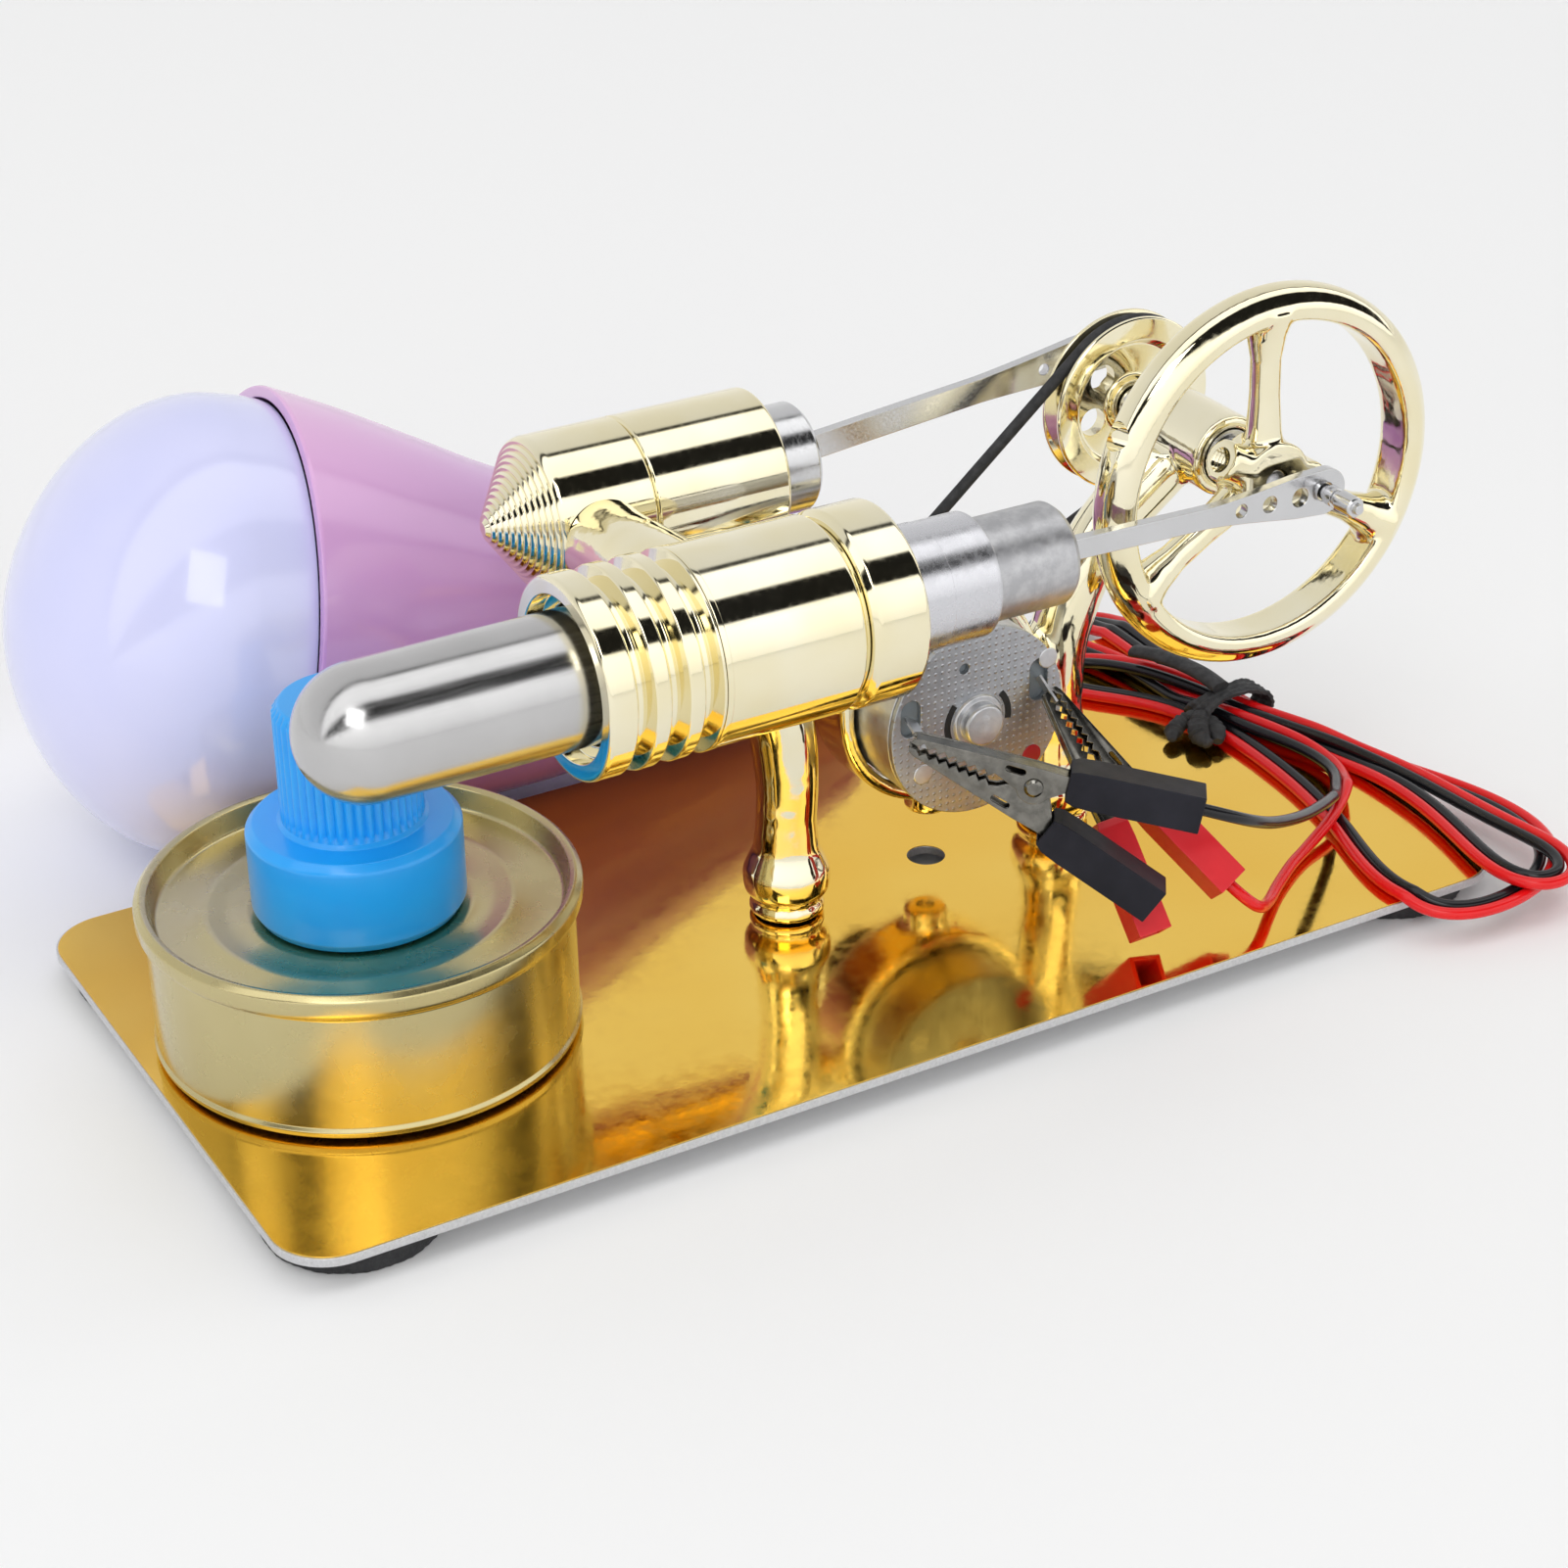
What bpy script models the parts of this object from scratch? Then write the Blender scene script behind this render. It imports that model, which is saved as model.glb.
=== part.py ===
"""Twin cylinder hot air engine on a gold plate, with spirit burner, belt driven generator,
LED bulb and clip leads.

Lengths are in millimetres and become metres where each object is made. x runs along the
plate, y from its front edge to the back, z up from the table. The two cylinders lie along
x, the crankshaft along y. An empty carries the plate's corner to its place, so that the
whole object stands centred on the world's origin.
"""

import math

import bmesh
import bpy
from mathutils import Matrix, Quaternion, Vector

MM = 0.001
MODEL_CENTRE = (109.2, 83.7)
GAP = 0.3

# Base
PLATE_LENGTH = 216.5
PLATE_WIDTH = 106.0
PLATE_BOTTOM = 4.0
PLATE_TOP = 5.6
PLATE_CORNER = 9.0
FOOT_RADIUS = 13.6
FOOT_INSET = 14.7
FOOT_HEIGHT = 3.7

# Axes of the machine
DISPLACER_Y = 26.5
POWER_Y = 79.5
AXIS_Z = 70.3
CRANK_X = 186.35
CRANK_RADIUS = 6.84
DISPLACER_CRANK_ANGLE = math.radians(-13)
POWER_CRANK_ANGLE = math.radians(77)
DISPLACER_WRIST_X = 134.0
POWER_WRIST_X = 119.0
GENERATOR_X = 135.4
GENERATOR_Z = 37.9
FRAME_Y = 53.0
BELT_Y = 71.5

# Crank end
FLYWHEEL_Y = 33.6
FLYWHEEL_WIDTH = 8.2
FLYWHEEL_RADIUS = 32.0
FLYWHEEL_INNER = 26.5
SPOKE_ANGLES = [math.radians(angle) for angle in (92, -28, 212)]
SET_SCREW_ANGLE = math.radians(152)
WHEEL_RADIUS = 15.2
WHEEL_BELT_RADIUS = 13.5
SHAFT_RADIUS = 2.0
PIN_RADIUS = 1.3
WRIST_PIN_RADIUS = 1.0
ROD_THICKNESS = 1.8

# Cylinders
BARREL_RADIUS = 15.2
POWER_RADIUS = 13.0
HOT_CAP_RADIUS = 10.13
GUIDE_BORE = 5.6

# Generator
GENERATOR_RADIUS = 16.1
RING_INNER = 16.4
RING_OUTER = 18.9
GENERATOR_BELT_RADIUS = 6.2
GENERATOR_SHAFT = 1.0

# Burner
BURNER = (34.8, 53.3)
TIN_RADIUS = 32.4
TIN_RIM_RADIUS = 33.7
TIN_TOP = 31.1
LID_TOP = 27.2
CAP_FLANGE_RADIUS = 16.2
CAP_RADIUS = 10.7
CAP_TOP = 61.8

# Bulb, along its own axis from the seam towards the tip of the dome
BULB_SEAM = Vector((47.9, 127.3, 39.5))
BULB_HEADING = math.radians(173.05)
BULB_TILT = math.radians(12.6)
BULB_BODY_LENGTH = 112.0
DOME_RADIUS = 38.7
DOME_WIDEST = 9.2
DOME_TIP = 40.6
DOME_POWER = 1.84
BULB_BODY = [(112.0, 9.0), (108.5, 11.6), (102.0, 13.6), (95.4, 14.8), (79.5, 18.1), (63.6, 22.8),
             (50.9, 26.9), (38.2, 28.7), (25.4, 33.2), (12.7, 37.4), (0.0, 40.4)]

# Clips: tip of the jaws, heading, pitch and roll in degrees, and size
CLIPS = {
    "black": ((118.0, 30.0, 42.3), -37.6, -22.6, -5.0, 0.96),
    "red": ((147.6, 36.0, 40.7), -71.6, -45.0, -66.0, 0.88),
}
RIVET_AT = (21.0, 1.6)

# Cable
CABLE_RADIUS = 2.1
LEAD_RADIUS = 1.0
HANK_ENDS = ((199.0, 96.0, 9.0), (216.0, 8.0, 17.0))
HANK_BOTTOM = 6.2
HANK_TOP = 11.7
CABLE_ROUTE = [(164.5, 113.1, 13.2), (169.2, 112.6, 11.9), (176.0, 112.0, 8.8), (184.0, 113.2, 5.8),
               (191.0, 113.8, 5.2), (196.6, 111.4, 7.0), (198.6, 107.9, 8.8)]
LEAD_ROUTES = {
    "black": [(155.6, 1.6, 32.2), (159.2, -0.9, 30.8), (165.0, -1.6, 26.0), (175.0, 4.6, 19.6),
              (185.0, 15.5, 13.0), (192.2, 27.4, 9.0)],
    "red": [(165.2, 7.1, 12.5), (166.8, 5.0, 10.4), (170.2, 4.3, 8.2), (176.0, 7.6, 7.0),
            (183.0, 12.5, 6.95), (190.0, 16.5, 7.2), (196.0, 18.6, 8.6)],
}

SHARP = math.radians(40)
AXIS_X = Vector((1, 0, 0))
AXIS_Y = Vector((0, 1, 0))
AXIS_UP = Vector((0, 0, 1))
STANDING = Quaternion(AXIS_X, math.pi / 2)

# name: colour, roughness, metallic
FINISHES = {
    "gold_plating": ((0.90, 0.80, 0.52), 0.08, 1.0),
    "gold_film": ((0.95, 0.62, 0.12), 0.10, 1.0),
    "steel": ((0.62, 0.60, 0.57), 0.25, 1.0),
    "aluminium": ((0.75, 0.75, 0.75), 0.35, 1.0),
    "zinc_plate": ((0.70, 0.70, 0.69), 0.40, 1.0),
    "tin_lacquer": ((0.62, 0.56, 0.33), 0.28, 1.0),
    "brass": ((0.75, 0.58, 0.28), 0.30, 1.0),
    "graphite": ((0.05, 0.05, 0.05), 0.50, 0.0),
    "black_rubber": ((0.02, 0.02, 0.02), 0.80, 0.0),
    "black_plastic": ((0.03, 0.03, 0.04), 0.50, 0.0),
    "red_plastic": ((0.75, 0.03, 0.03), 0.40, 0.0),
    "blue_plastic": ((0.03, 0.32, 0.85), 0.35, 0.0),
    "pink_plastic": ((0.80, 0.42, 0.75), 0.35, 0.0),
    "diffuser_plastic": ((0.80, 0.80, 0.95), 0.25, 0.0),
    "wick_cotton": ((0.85, 0.82, 0.74), 0.90, 0.0),
}


def clear_scene():
    for item in list(bpy.data.objects):
        bpy.data.objects.remove(item, do_unlink=True)


def new_collection(name):
    collection = bpy.data.collections.new(name)
    bpy.context.scene.collection.children.link(collection)
    return collection


def new_material(name, colour, roughness, metallic):
    material = bpy.data.materials.new(name)
    material.use_nodes = True
    shader = material.node_tree.nodes["Principled BSDF"]
    shader.inputs["Base Color"].default_value = (*colour, 1)
    shader.inputs["Roughness"].default_value = roughness
    shader.inputs["Metallic"].default_value = metallic
    material.diffuse_color = (*colour, 1)
    return material


clear_scene()
PARTS = new_collection("stirling_engine_model")
CUTTERS = new_collection("cutters")
MATERIALS = {name: new_material(name, *finish) for name, finish in FINISHES.items()}
CORNER = bpy.data.objects.new("plate_corner", None)
CORNER.location = Vector((-MODEL_CENTRE[0], -MODEL_CENTRE[1], 0)) * MM
PARTS.objects.link(CORNER)


def place(name, data, finish, at=(0, 0, 0), turn=None):
    """A new object; one without a finish is a helper for a Boolean."""
    piece = bpy.data.objects.new(name, data)
    piece.location = Vector(at) * MM
    piece.parent = CORNER
    if turn is not None:
        piece.rotation_mode = "QUATERNION"
        piece.rotation_quaternion = turn
    if finish is None:
        piece.hide_render = True
        piece.display_type = "WIRE"
        CUTTERS.objects.link(piece)
    else:
        data.materials.append(MATERIALS[finish])
        PARTS.objects.link(piece)
    return piece


def real(piece):
    """The piece as one welded mesh with its modifiers made real."""
    bpy.context.view_layer.update()
    graph = bpy.context.evaluated_depsgraph_get()
    mesh = bpy.data.meshes.new_from_object(piece.evaluated_get(graph))
    work = bmesh.new()
    work.from_mesh(mesh)
    bmesh.ops.remove_doubles(work, verts=work.verts, dist=1e-6)
    work.to_mesh(mesh)
    work.free()
    mesh.shade_smooth()
    mesh.set_sharp_from_angle(angle=SHARP)
    if piece.type == "MESH":
        piece.modifiers.clear()
        piece.data = mesh
        return piece
    name, helper = piece.name, piece.hide_render
    at, turn, mode = piece.location.copy(), piece.rotation_quaternion.copy(), piece.rotation_mode
    bpy.data.objects.remove(piece, do_unlink=True)
    solid = bpy.data.objects.new(name, mesh)
    solid.location = at
    solid.parent = CORNER
    solid.rotation_mode = mode
    solid.rotation_quaternion = turn
    solid.hide_render = helper
    (CUTTERS if helper else PARTS).objects.link(solid)
    return solid


def combine(piece, helpers, operation):
    for helper in helpers:
        step = piece.modifiers.new(helper.name, "BOOLEAN")
        step.operation = operation
        step.object = helper
    real(piece)
    for helper in helpers:
        bpy.data.objects.remove(helper, do_unlink=True)
    return piece


def joined(piece, helpers):
    return combine(piece, helpers, "UNION")


def cut(piece, helpers):
    return combine(piece, helpers, "DIFFERENCE")


def turned(name, profile, finish, at=(0, 0, 0), axis=AXIS_UP, steps=24):
    """A turned shape. The profile holds (radius, station) along the axis: up the outer side
    and, on a ring, back down the inner side."""
    mesh = bpy.data.meshes.new(name)
    points = [(radius * MM, 0, station * MM) for radius, station in reversed(profile)]
    edges = [(i, i + 1) for i in range(len(points) - 1)]
    if profile[0][0] > 0:
        edges.append((len(points) - 1, 0))
    mesh.from_pydata(points, edges, [])
    piece = place(name, mesh, finish, at, AXIS_UP.rotation_difference(axis))
    screw = piece.modifiers.new("Turn", "SCREW")
    screw.steps = steps
    screw.render_steps = steps
    screw.use_merge_vertices = True
    screw.merge_threshold = 0.00001
    return real(piece)


def rod(name, radius, start, length, finish, axis=AXIS_Y, steps=16, chamfer=0.0):
    """A round bar from start along the axis."""
    profile = [(0, 0), (radius - chamfer, 0), (radius, chamfer), (radius, length - chamfer),
               (radius - chamfer, length), (0, length)]
    if not chamfer:
        profile = [(0, 0), (radius, 0), (radius, length), (0, length)]
    return turned(name, profile, finish, start, axis, steps)


def sleeve(name, outer, inner, start, length, finish, axis=AXIS_Y, steps=24, chamfer=0.4):
    """A round tube from start along the axis, with its outer edges broken."""
    profile = [(outer - chamfer, 0), (outer, chamfer), (outer, length - chamfer),
               (outer - chamfer, length), (inner, length), (inner, 0)]
    return turned(name, profile, finish, start, axis, steps)


def outline(name, loops, thickness, finish, at=(0, 0, 0), turn=None):
    """A flat shape of even thickness; loops inside the first are holes."""
    curve = bpy.data.curves.new(name, "CURVE")
    curve.dimensions = "2D"
    curve.fill_mode = "BOTH"
    curve.extrude = thickness / 2 * MM
    for loop in loops:
        spline = curve.splines.new("POLY")
        spline.points.add(len(loop) - 1)
        for point, (u, v) in zip(spline.points, loop):
            point.co = (u * MM, v * MM, 0, 1)
        spline.use_cyclic_u = True
    return real(place(name, curve, finish, at, turn))


def tube(name, route, radius, finish, cyclic=False, at=(0, 0, 0), resolution=2):
    """A round tube along a route of (x, y, z) or, where its radius varies, (x, y, z, radius)."""
    curve = bpy.data.curves.new(name, "CURVE")
    curve.dimensions = "3D"
    spline = curve.splines.new("POLY")
    spline.points.add(len(route) - 1)
    for point, place_at in zip(spline.points, route):
        point.co = (*(Vector(place_at[:3]) * MM), 1)
        point.radius = place_at[3] / radius if len(place_at) > 3 else 1
    spline.use_cyclic_u = cyclic
    curve.bevel_depth = radius * MM
    curve.bevel_resolution = resolution
    curve.use_fill_caps = not cyclic
    return real(place(name, curve, finish, at))


def box(name, size, finish, at=(0, 0, 0), turn=None, bevel=0.0):
    mesh = bpy.data.meshes.new(name)
    work = bmesh.new()
    bmesh.ops.create_cube(work, size=MM)
    bmesh.ops.scale(work, verts=work.verts, vec=size)
    work.to_mesh(mesh)
    work.free()
    piece = place(name, mesh, finish, at, turn)
    if bevel:
        step = piece.modifiers.new("Edges", "BEVEL")
        step.width = bevel * MM
        step.segments = 1
    return real(piece)


def arc(centre, radius, start, end, count):
    """Points on a circle from one angle to another, both ends included."""
    angles = [start + (end - start) * i / (count - 1) for i in range(count)]
    return [(centre[0] + radius * math.cos(a), centre[1] + radius * math.sin(a)) for a in angles]


def circle(centre, radius, count):
    return arc(centre, radius, 0, 2 * math.pi * (count - 1) / count, count)


def smooth_route(points, spans):
    """A Catmull-Rom curve through the points, cut into equal parts between them."""
    points = [Vector(point) for point in points]
    padded = [2 * points[0] - points[1], *points, 2 * points[-1] - points[-2]]
    route = []
    for before, start, end, after in zip(padded, padded[1:], padded[2:], padded[3:]):
        for i in range(spans):
            t = i / spans
            bend = 2 * before - 5 * start + 4 * end - after
            close = 3 * start - before - 3 * end + after
            route.append(start + (end - before) * t / 2 + bend * t * t / 2 + close * t**3 / 2)
    route.append(points[-1])
    return route


def crank_pin(angle):
    return (CRANK_X + CRANK_RADIUS * math.cos(angle), AXIS_Z + CRANK_RADIUS * math.sin(angle))


# Base


def base_plate():
    right, back, corner = PLATE_LENGTH, PLATE_WIDTH, PLATE_CORNER
    quarter = math.pi / 2
    edge = []
    for i, centre in enumerate(((right - corner, back - corner), (corner, back - corner),
                                (corner, corner), (right - corner, corner))):
        edge += arc(centre, corner, i * quarter, (i + 1) * quarter, 6)
    holes = [circle((GENERATOR_X + 0.3, FRAME_Y), 3.2, 16)]
    holes += [circle(at, 1.6, 10) for at in ((107.1, 50.0), (161.1, FRAME_Y))]
    middle = (PLATE_BOTTOM + PLATE_TOP) / 2
    outline("base_plate", [edge, *holes], PLATE_TOP - PLATE_BOTTOM, "gold_film", (0, 0, middle))


def feet():
    profile = [(0, 0), (FOOT_RADIUS - 0.8, 0), (FOOT_RADIUS, 0.8), (FOOT_RADIUS, FOOT_HEIGHT),
               (0, FOOT_HEIGHT)]
    for side, y in (("near", FOOT_INSET), ("far", PLATE_WIDTH - FOOT_INSET)):
        for end, x in (("left", FOOT_INSET), ("right", PLATE_LENGTH - FOOT_INSET)):
            turned(f"foot_{side}_{end}", profile, "black_rubber", (x, y, 0))


# Frame


def leg_foot(name, at):
    profile = [(0, 0), (6.0, 0), (6.0, 1.4), (5.2, 2.2), (7.1, 6.0), (6.4, 9.0), (4.6, 13.0),
               (4.5, 17.0), (0, 17.0)]
    return turned(name, profile, None, (*at, PLATE_TOP + GAP), steps=16)


def engine_frame():
    """Legs, generator ring, bridge between the cylinders and bearing housing in one casting."""
    frame = rod("engine_frame", 6.9, (CRANK_X, 42.0, AXIS_Z), 22.0, "gold_plating", steps=24,
                chamfer=0.5)
    left, right = (107.1, 50.0), (161.1, FRAME_Y)
    parts = [
        leg_foot("left_foot", left),
        leg_foot("right_foot", right),
        sleeve("ring", RING_OUTER, RING_INNER, (GENERATOR_X, 47.7, GENERATOR_Z), 10.6, None,
               steps=28),
        rod("bridge", 10.5, (86.0, 30.0, 69.5), 45.0, None, steps=20),
        tube("left_leg", smooth_route([(107.1, 50.0, 20.0), (107.4, 50.6, 32.0),
                                       (104.6, 52.0, 46.0), (97.0, 53.0, 58.0),
                                       (89.0, 53.0, 68.0)], 3), 5.4, None),
        tube("left_branch", [(106.5, 51.3, 36.0), (113.0, 52.4, 38.4), (118.2, 53.0, 39.0)], 4.0,
             None),
        tube("right_leg", smooth_route([(161.1, 53.0, 20.0), (160.6, 53.0, 30.0),
                                        (161.8, 53.0, 42.0), (168.6, 53.0, 56.0),
                                        (184.0, 53.0, 69.4)], 3), 5.0, None),
        tube("right_branch", [(160.0, 53.0, 34.0), (156.0, 53.0, 36.6), (152.9, 53.0, 37.4)], 4.4,
             None),
        rod("screw_boss", 3.7, (GENERATOR_X + 0.3, FRAME_Y, 15.2), 5.6, None, AXIS_UP),
    ]
    joined(frame, parts)
    cutters = [
        rod("displacer_barrel", BARREL_RADIUS + GAP, (60.0, DISPLACER_Y, AXIS_Z), 60.0, None,
            AXIS_X, 28),
        rod("power_barrel", POWER_RADIUS + GAP, (60.0, POWER_Y, AXIS_Z), 60.0, None, AXIS_X, 28),
        rod("generator_seat", RING_INNER, (GENERATOR_X, 40.0, GENERATOR_Z), 26.0, None, steps=28),
        rod("front_seat", 4.9, (CRANK_X, 40.0, AXIS_Z), 6.0, None),
        rod("rear_seat", 4.9, (CRANK_X, 60.0, AXIS_Z), 6.0, None),
        rod("shaft_way", 2.9, (CRANK_X, 40.0, AXIS_Z), 26.0, None),
        rod("clamp_thread", 1.6, (GENERATOR_X + 0.3, FRAME_Y, 14.0), 10.0, None, AXIS_UP, 10),
        rod("left_thread", 1.6, (*left, 5.0), 9.0, None, AXIS_UP, 10),
        rod("right_thread", 1.6, (*right, 5.0), 9.0, None, AXIS_UP, 10),
    ]
    cut(frame, cutters)


def frame_screws():
    head = [(0, 2.2), (2.8, 2.2), (2.8, 3.7), (1.3, 3.7), (1.3, 13.5), (0, 13.5)]
    turned("leg_screw_left", head, "steel", (107.1, 50.0, 0), steps=12)
    turned("leg_screw_right", head, "steel", (161.1, FRAME_Y, 0), steps=12)
    rod("clamp_screw", 1.3, (GENERATOR_X + 0.3, FRAME_Y, 15.6), 5.7, "steel", AXIS_UP, 12)


# Displacer side, along x at the front


def hot_cap():
    outer, inner, dome, end = HOT_CAP_RADIUS, HOT_CAP_RADIUS - 0.9, 26.9, 79.6
    half = math.pi / 2
    outside = [(outer * math.sin(a), dome - outer * math.cos(a))
               for a in (half * i / 5 for i in range(6))]
    inside = [(inner * math.sin(a), dome - inner * math.cos(a))
              for a in (half * i / 5 for i in range(5, -1, -1))]
    outside[0] = (0, dome - outer)
    inside[-1] = (0, dome - inner)
    profile = [*outside, (outer, end), (inner, end), *inside]
    turned("hot_cap", profile, "steel", (0, DISPLACER_Y, AXIS_Z), AXIS_X)


def heat_sink():
    root = BARREL_RADIUS - 2.6
    profile = [(12.4, 56.2), (BARREL_RADIUS - 0.6, 56.2), (BARREL_RADIUS, 56.8)]
    for start, end in ((59.0, 61.9), (64.6, 67.5), (70.0, 72.0)):
        middle = (start + end) / 2
        profile += [(BARREL_RADIUS, start), (root, middle - 0.8), (root, middle + 0.8),
                    (BARREL_RADIUS, end)]
    bore = HOT_CAP_RADIUS + GAP
    profile += [(BARREL_RADIUS, 72.8), (bore, 72.8), (bore, 61.0)]
    turned("heat_sink", profile, "gold_plating", (0, DISPLACER_Y, AXIS_Z), AXIS_X, 28)


def displacer_cylinder():
    outer, bore = BARREL_RADIUS, HOT_CAP_RADIUS + GAP
    profile = [(outer, 73.1), (outer, 99.6), (outer - 0.8, 100.3), (9.2, 100.3), (9.2, 80.0),
               (bore, 80.0), (bore, 73.1)]
    turned("displacer_cylinder", profile, "gold_plating", (0, DISPLACER_Y, AXIS_Z), AXIS_X, 28)
    profile = [(outer - 0.8, 100.6), (outer, 101.3), (outer, 109.5), (outer - 0.7, 110.2),
               (1.8, 110.2), (1.8, 107.0), (9.2, 107.0), (9.2, 100.6)]
    turned("displacer_end_cover", profile, "gold_plating", (0, DISPLACER_Y, AXIS_Z), AXIS_X, 28)


def displacer_guide():
    profile = [(9.84, 110.5), (9.84, 125.8), (8.12, 125.8), (8.12, 140.1), (7.3, 141.3),
               (GUIDE_BORE, 141.3), (GUIDE_BORE, 114.0), (1.8, 114.0), (1.8, 110.5)]
    turned("displacer_guide", profile, "aluminium", (0, DISPLACER_Y, AXIS_Z), AXIS_X)


def displacer():
    tip, radius, end = 33.0, 8.4, 88.0
    nose = [(radius * math.sin(a), tip + radius * (1 - math.cos(a)))
            for a in (math.pi / 8 * i for i in range(5))]
    nose[0] = (0, tip)
    profile = [*nose, (radius, end), (0, end)]
    at = (0, DISPLACER_Y, AXIS_Z)
    turned("displacer", profile, "aluminium", at, AXIS_X, 20)
    rod("displacer_rod", 1.4, (end + GAP, DISPLACER_Y, AXIS_Z), 39.4, "steel", AXIS_X, 12)
    wrist_block("crosshead", 5.3, (128.0, DISPLACER_Y, AXIS_Z), 11.5, DISPLACER_WRIST_X, "brass")
    rod("displacer_wrist_pin", WRIST_PIN_RADIUS, (DISPLACER_WRIST_X, DISPLACER_Y - 4.4, AXIS_Z),
        8.8, "steel", steps=12)


def wrist_block(name, radius, start, length, wrist_x, finish):
    """A slider slotted for its rod and cross drilled for its wrist pin."""
    block = rod(name, radius, start, length, finish, AXIS_X, 20, 0.4)
    end = start[0] + length + 1
    slot_start = wrist_x - 3.0
    middle = ((slot_start + end) / 2, start[1], start[2])
    slot = box("slot", (end - slot_start, ROD_THICKNESS + 2 * GAP, 2 * radius + 2), None, middle)
    hole = rod("hole", WRIST_PIN_RADIUS + GAP, (wrist_x, start[1] - radius - 1, start[2]),
               2 * radius + 2, None, steps=12)
    return cut(block, [slot, hole])


def connecting_rod(name, wrist_x, y, crank_angle, height, eye, finish="steel", holes=()):
    """A flat rod from wrist to crank pin, drawn along +u from the wrist."""
    pin_x, pin_z = crank_pin(crank_angle)
    length = math.hypot(pin_x - wrist_x, pin_z - AXIS_Z)
    slope = math.atan2(pin_z - AXIS_Z, pin_x - wrist_x)
    quarter = math.pi / 2
    edge = arc((0, 0), height / 2, quarter, 3 * quarter, 6)
    edge += [(length * 0.55, -height / 2)]
    edge += arc((length, 0), eye, -quarter, quarter, 8)
    edge += [(length * 0.55, height / 2)]
    loops = [edge, circle((0, 0), WRIST_PIN_RADIUS + GAP, 10),
             circle((length, 0), PIN_RADIUS + GAP, 10)]
    loops += [circle((station, 0), radius, 8) for station, radius in holes]
    turn = Quaternion(AXIS_Y, -slope) @ STANDING
    outline(name, loops, ROD_THICKNESS, finish, (wrist_x, y, AXIS_Z), turn)


def displacer_linkage():
    holes = ((42.4, 1.0), (48.0, 1.2), (54.2, 1.3))
    connecting_rod("displacer_conrod", DISPLACER_WRIST_X, DISPLACER_Y, DISPLACER_CRANK_ANGLE, 3.56,
                   3.9, "steel", holes)
    x, z = crank_pin(DISPLACER_CRANK_ANGLE)
    rod("displacer_crank_pin", PIN_RADIUS, (x, 17.0, z), 11.9, "steel", steps=12, chamfer=0.3)


# Power side, along x at the back


def cylinder_nose():
    profile = [(0, 70.2), (POWER_RADIUS - 0.3, 78.8), (POWER_RADIUS, 79.2), (POWER_RADIUS, 94.0),
               (POWER_RADIUS - 0.6, 94.5), (9.4, 94.5), (9.4, 83.0), (0, 81.0)]
    turned("cylinder_nose", profile, "gold_plating", (0, POWER_Y, AXIS_Z), AXIS_X, 28)


def power_cylinder():
    sleeve("power_cylinder", POWER_RADIUS - 0.1, 9.4, (94.8, POWER_Y, AXIS_Z), 24.0,
           "gold_plating", AXIS_X, 28, 0.6)
    sleeve("power_liner", 9.1, 7.5, (84.0, POWER_Y, AXIS_Z), 42.7, "steel", AXIS_X)


def power_piston():
    wrist_block("power_piston", 7.2, (102.0, POWER_Y, AXIS_Z), 20.5, POWER_WRIST_X, "graphite")
    rod("power_wrist_pin", WRIST_PIN_RADIUS, (POWER_WRIST_X, POWER_Y - 6.0, AXIS_Z), 12.0, "steel",
        steps=12)


def power_linkage():
    connecting_rod("power_conrod", POWER_WRIST_X, POWER_Y, POWER_CRANK_ANGLE, 4.3, 3.6, "steel",
                   ((55.8, 1.0),))
    x, z = crank_pin(POWER_CRANK_ANGLE)
    rod("power_crank_pin", PIN_RADIUS, (x, 74.6, z), 8.4, "steel", steps=12, chamfer=0.3)


# Crankshaft and what it carries


def crankshaft():
    profile = [(0, 30.2), (SHAFT_RADIUS, 30.2), (SHAFT_RADIUS, 38.2), (3.4, 38.2), (3.4, 41.6),
               (SHAFT_RADIUS, 41.6), (SHAFT_RADIUS, 64.4), (3.4, 64.4), (3.4, 68.5),
               (SHAFT_RADIUS, 68.5), (SHAFT_RADIUS, 73.8), (0, 73.8)]
    turned("crankshaft", profile, "steel", (CRANK_X, 0, AXIS_Z), AXIS_Y, 16)
    for name, start in (("bearing_front", 42.3), ("bearing_rear", 60.3)):
        profile = [(4.6, 0), (4.6, 3.4), (SHAFT_RADIUS + GAP, 3.4), (SHAFT_RADIUS + GAP, 0)]
        turned(name, profile, "steel", (CRANK_X, start, AXIS_Z), AXIS_Y, 16)


def radial(angle, radius, y=0.0):
    return (CRANK_X + radius * math.cos(angle), y, AXIS_Z + radius * math.sin(angle))


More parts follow.
